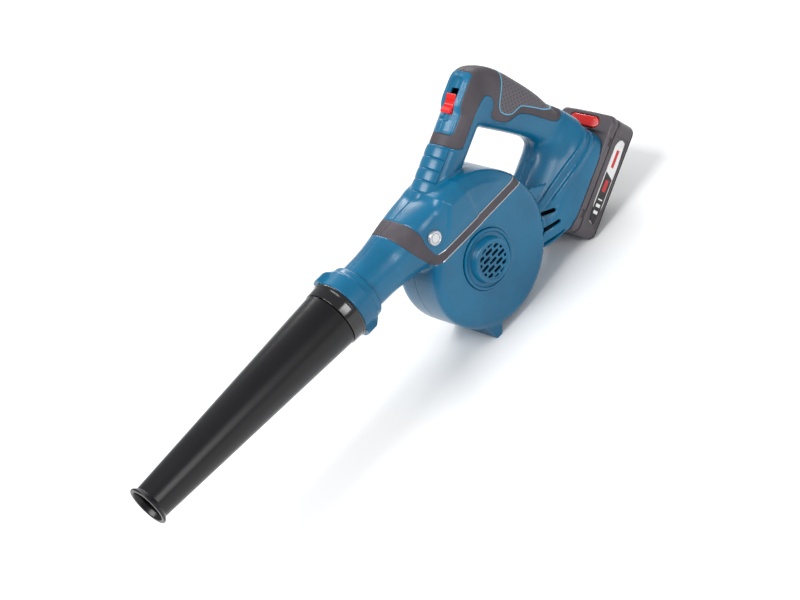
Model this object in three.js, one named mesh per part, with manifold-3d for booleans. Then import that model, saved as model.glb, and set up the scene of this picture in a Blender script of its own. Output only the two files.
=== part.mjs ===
// Cordless leaf blower: a volute fan housing, a long tapered nozzle, a looped handle and a slide-on battery.
// Frame: +X runs from the nozzle to the back, the grille side of the fan is -Y, and +Z is up.
// Everything is laid out about the fan's axis; the last lines move the origin to the middle of the base.
import * as THREE from 'three';
import { mergeVertices } from 'three/addons/utils/BufferGeometryUtils.js';
import Module from 'manifold-3d';

const wasm = await Module();
wasm.setup();

// ---------------------------------------------------------------- driving dimensions (mm, degrees)
const degree = Math.PI / 180;
const gap = 0.3;                  // between pieces that touch
const runGap = 0.5;               // between pieces that move past each other

const housingWall = 2.6;
const voluteHalfWidth = 34;       // near face, from the parting plane
const voluteFarWidth = 32;
const voluteEdge = 8;             // rounding of the volute's rims
const tongueAngle = 148;          // where the spiral starts, turned from +X towards +Z
const spiralSweep = 303;
const tongueRadius = 60;
const outletTop = 86;             // top of the volute, where it runs into the neck
const neckHeight = 56;            // nozzle axis above the fan axis
const neckRootRadius = 26;
const neckRadius = 24;
const throatStart = -14;          // X where the boxy outlet starts to turn round
const neckRoot = -74;             // X where the neck is fully round
const neckFront = -128;           // X of the neck's front end
const collarBack = -115;
const collarFront = -140;
const collarRadius = 30;
const nozzleTip = -395;
const nozzleTipRadius = 17.4;
const nozzleRimRadius = 20.5;
const nozzleRimLength = 5;
const nozzleRootRadius = 28.8;
const nozzleWall = 2;
const nozzleRingRadius = 31;
const nozzleRingLength = 14;
const twistTravel = 25;           // degrees that the nozzle turns to unlock
const lugAngles = [30, 210];      // two locking lugs round the nozzle's root
const lugSpread = 10;

const tilt = 29.5;                // the battery and the upper handle rise this much towards the back
const shaftHeight = 65.2;         // upper handle's centreline from the fan axis, square to the battery
const shaftRadius = 18.5;
const shaftStart = 20;
const shaftEnd = 146;
const handleWall = 4.2;
const overmoldDepth = 2;
const gripRows = [                // distance from the fan axis, front edge, back edge, half width
  [-48, 128.5, 159, 18.5], [-30, 126.5, 160, 18], [-7, 123, 164, 18.5], [27, 116, 166, 18.5],
  [45, 112, 166, 18.5], [62, 108, 164.5, 18.5], [75, 112, 158, 17], [84, 122, 150, 11],
];
const rearRows = [
  [-36, 60, 158, 8], [-39, 54, 158.5, 14], [-46, 46, 159, 20], [-56, 36, 159, 25.5], [-67, 28, 158.5, 32.5],
  [-78, 34, 158, 35.5], [-90.5, 52, 157.5, 37.5],
];

const packStart = 59;             // battery pack along the slide
const packEnd = 178;
const packHalfWidth = 37.5;
const packTop = -91;
const packSplit = -99;            // joint between the pack's lid and its tray
const packBottom = -125;
const packEdge = 3;
const packCorner = 9;
const packWall = 2.4;
const towerStart = 80;            // contact tower that slides into the dock
const towerEnd = 158;
const towerTop = -71.5;
const towerStemHalf = 17.5;
const towerFlangeHalf = 22;
const towerFlangeBottom = -77;
const terminalRows = [-12, 0, 12];
const cellRadius = 9.2;
const cellLength = 65;
const cellPitch = 19.6;
const cellCount = 5;
const buttonTravel = 3;
const buttonFront = 162.5;
const buttonBack = 173.5;
const buttonHalf = 20;
const gaugeHalf = 8;
const gaugeLow = -97;
const gaugeHigh = -93;
const gaugeTravel = 1;

const ventRadius = 21.5;          // raised vent cap over the motor
const ventReach = 43;             // its face, from the parting plane
const ventFlange = 29.8;
const ventFlangeThick = 2;
const slotPitch = 7;
const slotWidth = 3.6;
const intakeRadius = 27;
const stripeLow = 33.7;
const stripeHigh = 43.5;
const stripeFront = -50;
const stripeBack = 70;
const badgeRadius = 7;
const footFront = -30;
const footBack = -21.5;
const footHalfWidth = 31;

const impellerRadius = 49;
const impellerBack = 11;          // Y of the back plate
const impellerFront = 25;         // Y of the shroud
const eyeRadius = 26;
const bladeCount = 9;
const bladeThick = 1.4;
const plateThick = 1.6;
const motorRadius = 17.8;
const motorRear = -34.5;
const motorFront = 8;
const motorShell = 1.2;
const shaftPin = 1.6;
const bearingRadius = 5.5;
const bearingWidth = 4;
const screwRadius = 1.5;
const screwHeadRadius = 3.2;
const pillarRadius = 4.6;
const sliderTravel = 8;
const padFront = 108.5;
const padBack = 129.5;
const padHalf = 5.5;

// ---------------------------------------------------------------- materials
const plastic = (color, roughness) => new THREE.MeshStandardMaterial({ color, roughness, metalness: 0 });
const metal = (color, roughness) => new THREE.MeshStandardMaterial({ color, roughness, metalness: 0.9 });
const blue = plastic(0x26668f, 0.42);
const soft = plastic(0x4a4245, 0.8);
const black = plastic(0x17181a, 0.35);
const red = plastic(0xd8201c, 0.35);
const grey = plastic(0x3c3a3e, 0.55);
const white = plastic(0xe8e8e6, 0.5);
const steel = metal(0x9a9ca0, 0.35);
const copper = metal(0xb06a3c, 0.4);
const brass = metal(0xb9974a, 0.35);
const green = plastic(0x1f5a35, 0.5);

// ---------------------------------------------------------------- solids
// A geometry becomes a solid: shared vertices merged, faces turned outwards.
function solid(geometry) {
  const bare = geometry.clone();
  for (const name of Object.keys(bare.attributes)) if (name !== 'position') bare.deleteAttribute(name);
  const merged = mergeVertices(bare, 1e-4);
  const points = merged.attributes.position.array;
  const corners = [];
  for (let i = 0; i < merged.index.count; i += 3) {
    const [a, b, c] = [merged.index.getX(i), merged.index.getX(i + 1), merged.index.getX(i + 2)];
    if (a !== b && b !== c && c !== a) corners.push(a, b, c);
  }
  if (signedVolume(points, corners) < 0) {
    for (let i = 0; i < corners.length; i += 3) [corners[i], corners[i + 1]] = [corners[i + 1], corners[i]];
  }
  const mesh = { numProp: 3, vertProperties: Float32Array.from(points), triVerts: Uint32Array.from(corners) };
  return new wasm.Manifold(new wasm.Mesh(mesh));
}

function signedVolume(points, corners) {
  const at = (i) => new THREE.Vector3(points[3 * i], points[3 * i + 1], points[3 * i + 2]);
  let volume = 0;
  for (let i = 0; i < corners.length; i += 3) {
    volume += at(corners[i]).dot(at(corners[i + 1]).cross(at(corners[i + 2])));
  }
  return volume;
}

const join = (...parts) => parts.reduce((whole, part) => whole.add(part));
const cut = (whole, ...tools) => tools.reduce((left, tool) => left.subtract(tool), whole);

function geometryOf(manifold) {
  const mesh = manifold.getMesh();
  const geometry = new THREE.BufferGeometry();
  geometry.setAttribute('position', new THREE.BufferAttribute(mesh.vertProperties, 3));
  geometry.setIndex(new THREE.BufferAttribute(mesh.triVerts, 1));
  geometry.computeVertexNormals();
  return geometry;
}

// ---------------------------------------------------------------- shapes
const tilted = (geometry) => geometry.rotateY(-tilt * degree);    // battery frame to fan frame

function box(x0, x1, y0, y1, z0, z1) {
  return new THREE.BoxGeometry(x1 - x0, y1 - y0, z1 - z0)
    .translate((x0 + x1) / 2, (y0 + y1) / 2, (z0 + z1) / 2);
}

// An XZ outline pushed along Y from y0 to y1, with its rims rounded by edge.
function slab(shape, y0, y1, edge = 0, segments = 2) {
  const depth = y1 - y0 - 2 * edge;
  const geometry = new THREE.ExtrudeGeometry(shape, {
    depth, curveSegments: 4, bevelEnabled: edge > 0, bevelThickness: edge, bevelSize: edge,
    bevelOffset: -edge, bevelSegments: segments,
  });
  return geometry.rotateX(Math.PI / 2).translate(0, y1 - edge, 0);
}

const polygon = (points) => new THREE.Shape(points.map(([x, z]) => new THREE.Vector2(x, z)));

// The outline moved inwards by distance, each corner along its bisector.
function shrink(points, distance) {
  const turn = Math.sign(THREE.ShapeUtils.area(points.map(([x, z]) => new THREE.Vector2(x, z))));
  return points.map(([x, z], i) => {
    const [px, pz] = points.at(i - 1);
    const [nx, nz] = points[(i + 1) % points.length];
    const before = new THREE.Vector2(x - px, z - pz).normalize();
    const after = new THREE.Vector2(nx - x, nz - z).normalize();
    const inward = new THREE.Vector2(-before.y - after.y, before.x + after.x).multiplyScalar(turn);
    const reach = distance / (1 + before.dot(after));
    return [x + inward.x * reach, z + inward.y * reach];
  });
}

// A profile of [radius, height] turned about the Y axis, or about the X axis.
const turnedY = (profile, segments = 24) =>
  new THREE.LatheGeometry([...profile, profile[0]].map(([r, h]) => new THREE.Vector2(r, h)), segments);
const turnedX = (profile, segments = 24) => turnedY(profile, segments).rotateZ(-Math.PI / 2);
const discY = (radius, y0, y1, segments = 20) =>
  turnedY([[0, y0], [radius, y0], [radius, y1], [0, y1]], segments);
const ringY = (inner, outer, y0, y1, segments = 20) =>
  turnedY([[inner, y0], [outer, y0], [outer, y1], [inner, y1]], segments);

// A superellipse of count points; power 2 is an ellipse and a high power is nearly a rectangle.
function oval(halfA, halfB, power, count = 18) {
  return Array.from({ length: count }, (_, i) => {
    const angle = (2 * Math.PI * (i + 0.5)) / count;
    const bend = (value) => Math.sign(value) * Math.abs(value) ** (2 / power);
    return [halfA * bend(Math.cos(angle)), halfB * bend(Math.sin(angle))];
  });
}

// A closed skin through rings of points, with a flat cap on the first ring and the last.
function loft(rings) {
  const count = rings[0].length;
  const index = [];
  for (let row = 0; row + 1 < rings.length; row += 1) {
    for (let i = 0; i < count; i += 1) {
      const [a, b] = [row * count + i, row * count + ((i + 1) % count)];
      index.push(a, b, b + count, a, b + count, a + count);
    }
  }
  const last = (rings.length - 1) * count;
  for (let i = 1; i + 1 < count; i += 1) index.push(0, i + 1, i, last, last + i, last + i + 1);
  const geometry = new THREE.BufferGeometry();
  geometry.setAttribute('position', new THREE.Float32BufferAttribute(rings.flat(2), 3));
  geometry.setIndex(index);
  return geometry;
}

// ---------------------------------------------------------------- housing shapes, each shrunk by inset
const spiralRadius = (turned) => {                  // grows fast after the tongue, then more slowly
  const share = turned / spiralSweep;
  return tongueRadius + (outletTop - tongueRadius) * share * (1.5 - 0.5 * share);
};

function volute(inset) {
  const steps = 30;
  const outline = Array.from({ length: steps + 1 }, (_, i) => {
    const turned = (spiralSweep * i) / steps;
    const radius = spiralRadius(turned) - inset;
    const angle = (tongueAngle + turned) * degree;
    return [radius * Math.cos(angle), radius * Math.sin(angle)];
  });
  outline.push([throatStart, outletTop - inset]);
  const edge = voluteEdge - inset / 2;
  return solid(slab(polygon(outline), -voluteHalfWidth + inset, voluteFarWidth - inset, edge));
}

function duct(inset, front = neckFront) {
  const [low, high] = [neckHeight - neckRootRadius, outletTop - 1];
  const far = voluteFarWidth - 1;
  const rows = [                                // X, near side, far side, bottom, top, squareness
    [throatStart + 6, -voluteHalfWidth + 0.5, far, low, high, 7],
    [throatStart - 16, -voluteHalfWidth + 1, far - 2, low, high - 0.5, 4],
    [throatStart - 32, -voluteHalfWidth + 2.5, far - 3, low, high - 2, 3],
    [throatStart - 46, -neckRootRadius - 2.5, neckRootRadius + 1, low, high - 2.8, 2.4],
    [neckRoot, -neckRootRadius, neckRootRadius, low, low + 2 * neckRootRadius, 2],
    ...[(neckRoot + collarBack) / 2, front].map((x) =>
      [x, -neckRadius, neckRadius, neckHeight - neckRadius, neckHeight + neckRadius, 2]),
  ];
  return solid(loft(rows.map(([x, near, other, base, top, power]) =>
    oval((other - near) / 2 - inset, (top - base) / 2 - inset, power)
      .map(([y, z]) => [x, (near + other) / 2 + y, (base + top) / 2 + z]))));
}

function rowsAlong(rows, inset, power, capInset) {
  return solid(tilted(loft(rows.map(([w, front, back, half], row) => {
    const climb = Math.sign(rows[1][0] - rows[0][0]);
    const end = row === 0 ? climb : row === rows.length - 1 ? -climb : 0;
    return oval((back - front) / 2 - inset, half - inset, power)
      .map(([u, y]) => [(front + back) / 2 + u, y, w + end * capInset]);
  }))));
}

function shaft(inset) {
  return solid(tilted(loft([shaftStart, shaftEnd - inset].map((u) =>
    oval(shaftRadius - inset, shaftRadius - inset, 2).map(([y, w]) => [u, y, shaftHeight + w])))));
}

const handle = (inset) => shaft(inset).add(rowsAlong(gripRows, inset, 3.2, inset));
const rear = (inset) => rowsAlong(rearRows, inset, 5, inset);
const farShoulder = 77;                             // a flat along the outlet's far upper edge
const airway = (inset, front) =>
  volute(inset).add(duct(inset, front)).trimByPlane([0, -0.66, -0.75], inset - farShoulder);

const packLow = (packStart + packEdge) * Math.sin(tilt * degree) + packBottom * Math.cos(tilt * degree);
const voluteFloor = -spiralRadius(255 - tongueAngle);

function foot() {
  const top = voluteFloor + 8;
  const outline = [[footFront, packLow], [footBack, packLow], [footBack + 8, top], [footFront - 2, top]];
  return solid(slab(polygon(outline), -footHalfWidth, footHalfWidth));
}

// Screws run along Y from the far side; each stands on a pillar inside the housing.
function inPack(u, w) {
  const [cos, sin] = [Math.cos(tilt * degree), Math.sin(tilt * degree)];
  return [u * cos - w * sin, u * sin + w * cos];
}
const screwPlaces = [
  { at: inPack(72, 62), reach: 16 }, { at: inPack(128, 57), reach: 16.5 },
  { at: inPack(134, -22), reach: 16 },
  { at: inPack(151, -60), reach: 26 }, { at: inPack(42, -68), reach: 28 },
  { at: [(footFront + footBack) / 2 + 1, packLow + 5], reach: footHalfWidth - 1 },
];
const screwEnd = -8;
const rodAt = ({ at: [x, z] }, radius, y0, y1) => solid(discY(radius, y0, y1, 12).translate(x, 0, z));

// ---------------------------------------------------------------- regions of the trim, as XZ outlines
const overmoldOutline = [        // in the battery frame
  [79, 110], [79, 64.5], [138, 64.5], [143, 53], [132, 47.6], [122, 47.6], [124, 29.6], [134.7, 17.5],
  [139.7, 12.9], [143.6, -2], [148, -34], [153, -42], [175, -50], [175, 110],
];
const bezelFront = 92;
const bezelBack = 150;
const bezelHalf = 12;
const bezelMargin = 1.5;            // housing left between the bezel and the grip cover
const bandOutline = [
  [-70, 95], [-62, 60], [stripeFront, stripeLow], [stripeFront + 8, stripeLow], [-42, 52], [-44, 70],
  [-50, 95],
];
const stripeOutline = [
  [stripeFront, stripeLow], [stripeBack, stripeLow], [stripeBack, stripeHigh], [stripeFront + 4, stripeHigh],
];
const badgeAt = [-38, 60.5];

function regions(inset) {
  const overmold = solid(tilted(slab(polygon(shrink(overmoldOutline, inset)), -40, 40)));
  const bezelKeep = bezelMargin + inset;
  const bezel = solid(tilted(box(bezelFront - bezelKeep, bezelBack + bezelKeep, -bezelHalf - bezelKeep,
    bezelHalf + bezelKeep, shaftHeight, 120)));
  const band = solid(slab(polygon(shrink(bandOutline, inset)), -60, 60));
  const stripe = solid(slab(polygon(shrink(stripeOutline, inset)), -60, 60));
  return { overmold: overmold.subtract(bezel), trim: band.add(stripe) };
}
const bezelRegion = (inset) => solid(tilted(box(bezelFront + inset, bezelBack - inset, -bezelHalf + inset,
  bezelHalf - inset, shaftHeight, 120)));

// ---------------------------------------------------------------- the two housing halves
const nearHalf = solid(box(-420, 260, -80, -gap / 2, -120, 200));
const farHalf = solid(box(-420, 260, gap / 2, 80, -120, 200));
const dockHalf = 26.5;
const dockStart = 72;
const dockEnd = 152;
const stemFront = padFront + 2.5;
const stemBack = padBack - 2.5;
const slotFront = padFront - runGap;
const slotBack = padBack + sliderTravel + runGap;
const slotHalf = padHalf + runGap;

function ventSlots() {
  const slots = [
    [[74.9, -16.5], [92.7, -20.8]], [[68.9, -30.1], [90.4, -32.2]], [[61.3, -42.6], [89.6, -44.9]],
  ];
  return slots.map(([[x0, z0], [x1, z1]]) =>
    solid(slab(polygon([[x0, z0 - 2], [x1, z1 - 2], [x1, z1 + 2], [x0, z0 + 2]]), -60, 60)));
}

function housing() {
  const shell = join(airway(0), handle(0), rear(0), foot());
  const service = cut(join(handle(handleWall), rear(housingWall)), airway(0));
  const air = airway(housingWall, neckFront - 10);
  const pillars = join(...screwPlaces.map((place) => rodAt(place, pillarRadius, -60, 60)));
  const overlay = regions(0);
  const bezel = bezelRegion(-gap);
  const face = ventFlange + gap;
  return cut(
    join(cut(shell, service, air), cut(pillars.intersect(shell), air)),
    cut(overlay.overmold, handle(overmoldDepth + gap))
      .intersect(solid(tilted(box(60, 190, -40, 40, -60, 120)))),
    cut(overlay.trim, airway(overmoldDepth + gap)),
    cut(bezel, handle(overmoldDepth + gap)),
    solid(tilted(box(slotFront - gap, slotBack + gap, -slotHalf - gap, slotHalf + gap, shaftHeight, 120))),
    ...ventSlots(),
    solid(discY(ventRadius + 1, -60, -20, 32)),
    solid(discY(face, -60, -voluteHalfWidth + 0.6, 32)),
    solid(discY(intakeRadius, 20, 60, 32)),
    solid(discY(face, voluteFarWidth - 0.6, 60, 32)),
    solid(tilted(box(dockStart - 8, dockEnd, -dockHalf - gap, dockHalf + gap, packTop - 2, -60))),
    solid(tilted(box(140, 200, -towerFlangeHalf - 1.5, towerFlangeHalf + 1.5, packTop - 2, towerTop + 1.5))),
    solid(discY(badgeRadius + gap, -60, -voluteHalfWidth + 1).translate(badgeAt[0], 0, badgeAt[1])),
  );
}

// ---------------------------------------------------------------- the assembly
const tool = new THREE.Group();           // fan frame
const upper = new THREE.Group();          // battery frame
upper.rotation.y = -tilt * degree;
tool.add(upper);

function add(parent, name, shape, material, x = 0, y = 0, z = 0) {
  const body = shape.isBufferGeometry ? solid(shape) : shape;
  const mesh = new THREE.Mesh(geometryOf(body), material);
  mesh.name = name;
  mesh.position.set(x, y, z);
  parent.add(mesh);
}

function addHousing() {
  const screwHoles = (place, radius) => rodAt(place, radius, screwEnd - 1, 60);
  const whole = housing();
  const threads = screwPlaces.map((place) => screwHoles(place, screwRadius + 0.1));
  const near = cut(whole.intersect(nearHalf), ...threads);
  const far = cut(whole.intersect(farHalf), ...screwPlaces.flatMap((place) => [
    screwHoles(place, screwRadius + gap), rodAt(place, screwHeadRadius + gap, place.reach - 3, 60)]));
  add(tool, 'housing_left', largest(near), blue);
  add(tool, 'housing_right', largest(far), blue);
  screwPlaces.forEach((place, i) => {
    const top = place.reach - gap;
    const screw = turnedY([[0, screwEnd], [screwRadius, screwEnd], [screwRadius, top - 2.7],
      [screwHeadRadius, top - 2.7], [screwHeadRadius, top], [0, top]], 12);
    add(tool, `screw_${i + 1}`, screw, steel, place.at[0], 0, place.at[1]);
  });
}

// The biggest of a solid's separate bodies: a cut can leave a loose crumb behind.
function largest(body) {
  return body.decompose().sort((a, b) => b.volume() - a.volume())[0];
}

function addTrim() {
  const zone = regions(gap);
  const overmold = cut(handle(0), handle(overmoldDepth)).intersect(zone.overmold);
  const badgeRoom = solid(discY(badgeRadius + 2 * gap, -60, 60).translate(badgeAt[0], 0, badgeAt[1]));
  const trim = cut(cut(airway(0), airway(overmoldDepth)).intersect(zone.trim), badgeRoom);
  for (const [side, half] of [['left', nearHalf], ['right', farHalf]]) {
    add(tool, `grip_cover_${side}`, largest(overmold.intersect(half)), soft);
    add(tool, `trim_band_${side}`, largest(trim.intersect(half)), soft);
  }
  const badge = discY(badgeRadius, -voluteHalfWidth - 0.4, -voluteHalfWidth + 1 - gap);
  add(tool, 'blank_badge', badge, white, badgeAt[0], 0, badgeAt[1]);
}

function addSwitch() {
  const slot = solid(tilted(box(slotFront, slotBack, -slotHalf, slotHalf, shaftHeight, 120)));
  const bezel = cut(cut(handle(0), handle(overmoldDepth)).intersect(bezelRegion(0)), slot);
  add(tool, 'switch_bezel', largest(bezel), blue);
  const crown = shaftHeight + shaftRadius + 0.8;
  const slider = join(
    solid(box(stemFront, stemBack, -3.6, 3.6, crown - 9, crown - 2)),
    solid(box(padFront, padBack, -padHalf, padHalf, crown - 3.5, crown)),
  );
  add(upper, 'switch_slider', slider, red);
  add(upper, 'switch_link', box(stemFront + 2, stemBack - 2, -2.5, 2.5, crown - 17, crown - 9 - gap), black);
  const module = box(stemFront - 13, stemFront + 10, -8, 8, crown - 30, crown - 17 - runGap);
  add(upper, 'switch_module', module, black);
}

function addOutlet() {
  const bore = nozzleRootRadius - nozzleWall - 0.4;
  const collar = turnedX([
    [neckRadius + gap, collarBack], [neckRadius + 3, collarBack], [collarRadius - 1.5, collarBack - 6],
    [collarRadius, collarBack - 6], [collarRadius, collarFront + gap], [bore, collarFront + gap],
    [bore, neckFront - gap], [neckRadius + gap, neckFront - gap],
  ]);
  const lug = () => box(collarFront + gap, collarFront + 16, -9, 9, bore + 1.5, collarRadius + 5);
  const lugs = lugAngles.map((angle) => solid(lug().rotateX(angle * degree)));
  const placed = join(solid(collar), ...lugs);
  const room = lugSpread + 8;
  const grooves = lugAngles.map((angle) =>
    lugSector(bore - 1, bore + 2.4, room, twistTravel + room, 7, angle));
  add(tool, 'outlet_collar', cut(placed, ...grooves), blue, 0, 0, neckHeight);
}

// A ring sector about the X axis, centred on angle, reaching back and forth by its two half widths.
const lugMiddle = collarFront + 6;
function lugSector(inner, outer, backward, forward, length, angle) {
  const outline = new THREE.Shape();
  const [start, end] = [(angle + 90 - backward) * degree, (angle + 90 + forward) * degree];
  outline.absarc(0, 0, outer, start, end, false);
  outline.absarc(0, 0, inner, end, start, true);
  const sector = new THREE.ExtrudeGeometry(outline, { depth: length, bevelEnabled: false, curveSegments: 8 });
  return solid(sector.translate(0, 0, -length / 2).rotateY(Math.PI / 2).rotateX(Math.PI / 2)
    .translate(lugMiddle, 0, 0));
}

function addNozzle() {
  const ringBack = collarFront - gap;
  const ringFront = ringBack - nozzleRingLength;
  const spigot = nozzleRootRadius - nozzleWall - 1;
  const spigotEnd = neckFront - gap - runGap;
  const inner = spigot - nozzleWall;
  const tube = turnedX([
    [spigot, spigotEnd], [spigot, ringFront - gap], [nozzleRootRadius, ringFront - gap],
    [nozzleTipRadius, nozzleTip + nozzleRimLength],
    [nozzleRimRadius, nozzleTip + 1.5], [nozzleRimRadius, nozzleTip],
    [nozzleTipRadius - nozzleWall + 1.5, nozzleTip],
    [nozzleTipRadius - nozzleWall, nozzleTip + nozzleRimLength],
    [nozzleRootRadius - nozzleWall - 0.2, ringFront - 8], [inner, spigotEnd],
  ]);
  const lugs = lugAngles.map((angle) => lugSector(spigot - 1, spigot + 2.6, lugSpread, lugSpread, 5, angle));
  add(tool, 'nozzle_tube', join(solid(tube), ...lugs), black, 0, 0, neckHeight);
  const ring = turnedX([
    [spigot + gap, ringBack], [nozzleRingRadius - 1, ringBack], [nozzleRingRadius, ringBack - 1.5],
    [nozzleRingRadius, ringFront + 1.5], [nozzleRingRadius - 1, ringFront], [spigot + gap, ringFront],
  ]);
  add(tool, 'nozzle_ring', ring, black, 0, 0, neckHeight);
}

function ventCap(sign, width, radius, material, name, reach) {
  const wall = 2.2;
  const seat = sign * (width - 0.6 + gap);
  const out = (distance) => seat + sign * distance;
  const face = sign * reach;
  const cap = turnedY([
    [radius - wall, seat], [ventFlange, seat], [ventFlange, out(3)], [ventFlange - 2, out(3)],
    [ventFlange - 3, out(ventFlangeThick)], [radius + 1, out(ventFlangeThick)], [radius, face - sign * 2],
    [radius - 2, face], [0, face], [0, face - sign * wall], [radius - wall, face - sign * wall],
  ]);
  const rows = Math.floor((radius - 6) / slotPitch);
  const slots = [];
  for (let row = -rows; row <= rows; row += 1) {
    const middle = row * slotPitch;
    const half = Math.sqrt((radius - 4) ** 2 - middle ** 2);
    for (const [x0, x1] of [[-half, -1.2], [1.2, half]]) {
      slots.push(solid(box(x0, x1, -80, 80, middle - slotWidth / 2, middle + slotWidth / 2)));
    }
  }
  add(tool, name, cut(solid(cap), ...slots), material);
}

function addFan() {
  const blades = Array.from({ length: bladeCount }, (_, i) => {
    const outline = new THREE.Shape();
    const [near, far] = [eyeRadius - 6, impellerRadius - 1];
    outline.moveTo(near, 0);
    outline.quadraticCurveTo((near + far) / 2, 2, far * 0.8, -far * 0.55);
    outline.lineTo(far * 0.8 - bladeThick, -far * 0.55 - bladeThick);
    outline.quadraticCurveTo((near + far) / 2 - bladeThick, 2 - bladeThick, near, -bladeThick - 0.6);
    const blade = slab(outline, impellerBack + 0.5, impellerFront - plateThick - gap);
    return solid(blade.rotateY((2 * Math.PI * i) / bladeCount));
  });
  const hub = solid(turnedY([
    [shaftPin + 0.1, impellerBack - 1], [8, impellerBack - 1], [8, impellerBack],
    [impellerRadius, impellerBack],
    [impellerRadius, impellerBack + plateThick], [10, impellerBack + plateThick], [7, impellerBack + 9],
    [shaftPin + 0.1, impellerBack + 9],
  ], 36));
  add(tool, 'fan_impeller', join(hub, ...blades), black);
  add(tool, 'fan_shroud', turnedY([
    [eyeRadius - 1, impellerFront + 3], [eyeRadius + 0.6, impellerFront + 3], [eyeRadius + 3, impellerFront],
    [impellerRadius, impellerFront], [impellerRadius, impellerFront - plateThick],
    [eyeRadius + 2, impellerFront - plateThick],
  ]), black);
  add(tool, 'fan_nut', ringY(shaftPin + 0.1, 4, impellerBack + 9 + gap, impellerBack + 12, 12), brass);
}

function addMotor() {
  add(tool, 'motor_shaft', discY(shaftPin, motorRear - 5, impellerBack + 13.5, 12), steel);
  add(tool, 'rotor_core', ringY(shaftPin + 0.1, 11, motorRear + 12, motorFront - 9), steel);
  add(tool, 'commutator', ringY(shaftPin + 0.1, 5, motorRear + 2, motorRear + 10), copper);
  const [rearSeat, frontSeat] = [motorRear - 4, motorFront - bearingWidth - motorShell - gap];
  const bearing = (seat) => ringY(shaftPin + 0.1, bearingRadius, seat, seat + bearingWidth);
  add(tool, 'bearing_rear', bearing(rearSeat), steel);
  add(tool, 'bearing_front', bearing(frontSeat), steel);
  add(tool, 'motor_can', turnedY([
    [motorRadius, motorRear + 2], [motorRadius, motorFront], [4, motorFront], [4, motorFront - motorShell],
    [bearingRadius + gap, motorFront - motorShell], [bearingRadius + gap, frontSeat],
    [bearingRadius + 2, frontSeat],
    [bearingRadius + 2, motorFront - motorShell], [motorRadius - motorShell, motorFront - motorShell],
    [motorRadius - motorShell, motorRear + 2],
  ]), steel);
  add(tool, 'motor_end_bell', turnedY([
    [4, rearSeat - 1.5], [bearingRadius + 2, rearSeat - 1.5],
    [bearingRadius + 2, motorRear], [motorRadius, motorRear],
    [motorRadius, motorRear + 2 - gap], [bearingRadius + 3, motorRear + 2 - gap],
    [bearingRadius + gap, rearSeat + 4],
    [bearingRadius + gap, rearSeat - gap], [4, rearSeat - gap],
  ]), black);
  const pole = new THREE.Shape();
  pole.absarc(0, 0, motorRadius - motorShell - gap, -1.1, 1.1, false);
  pole.absarc(0, 0, 11.8, 1.1, -1.1, true);
  const magnet = slab(pole, motorRear + 11, motorFront - 8);
  add(tool, 'magnet_front', magnet.clone().rotateY(Math.PI), grey);
  add(tool, 'magnet_rear', magnet, grey);
  const wall = -voluteHalfWidth + housingWall;
  const cup = motorRadius + gap;
  add(tool, 'motor_mount', turnedY([
    [cup, wall + gap], [ventFlange - 2, wall + gap], [ventFlange - 2, wall + 3], [motorRadius + 3, wall + 3],
    [motorRadius + 3, motorFront + 1.5], [5, motorFront + 1.5], [5, motorFront + gap],
    [cup, motorFront + gap],
  ]), black);
}

const channel = (points, u0, u1) => {              // a YW outline pushed along the slide
  const geometry = new THREE.ExtrudeGeometry(polygon(points), { depth: u1 - u0, bevelEnabled: false });
  return geometry.rotateX(Math.PI / 2).rotateZ(Math.PI / 2).translate(u0, 0, 0);
};

function addDock() {
  const [lip, under, roof] = [towerStemHalf + runGap, towerFlangeBottom - runGap, towerTop + runGap];
  const side = towerFlangeHalf + runGap;
  const bottom = packTop + runGap;
  const outline = [
    [-dockHalf, roof + 2.5], [-dockHalf, bottom], [-lip, bottom], [-lip, under], [-side, under],
    [-side, roof],
    [side, roof], [side, under], [lip, under], [lip, bottom], [dockHalf, bottom], [dockHalf, roof + 2.5],
  ];
  add(upper, 'battery_dock', channel(outline, dockStart, dockEnd - gap), black);
  ['positive', 'signal', 'negative'].forEach((name, i) => {
    const y = terminalRows[i];
    add(upper, `terminal_${name}`, box(86, 102, y - 0.6, y + 0.6, roof - 8, roof - gap), brass);
  });
}

// The pack's outline in the UY plane with round corners, pushed along W and rounded at its rims.
function packBlock(inset) {
  const [u0, u1] = [packStart + inset, packEnd - inset];
  const [half, corner] = [packHalfWidth - inset, packCorner - inset];
  const outline = new THREE.Shape();
  outline.absarc(u1 - corner, half - corner, corner, 0, Math.PI / 2, false);
  outline.absarc(u0 + corner, half - corner, corner, Math.PI / 2, Math.PI, false);
  outline.absarc(u0 + corner, corner - half, corner, Math.PI, Math.PI * 1.5, false);
  outline.absarc(u1 - corner, corner - half, corner, Math.PI * 1.5, Math.PI * 2, false);
  const edge = packEdge - inset / 2;
  const low = packBottom + inset;
  const high = packTop - inset;
  const geometry = new THREE.ExtrudeGeometry(outline, {
    depth: high - low - 2 * edge, bevelThickness: edge, bevelSize: edge, bevelOffset: -edge, bevelSegments: 1,
    curveSegments: 5,
  });
  return solid(geometry.translate(0, 0, low + edge));
}

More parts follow.
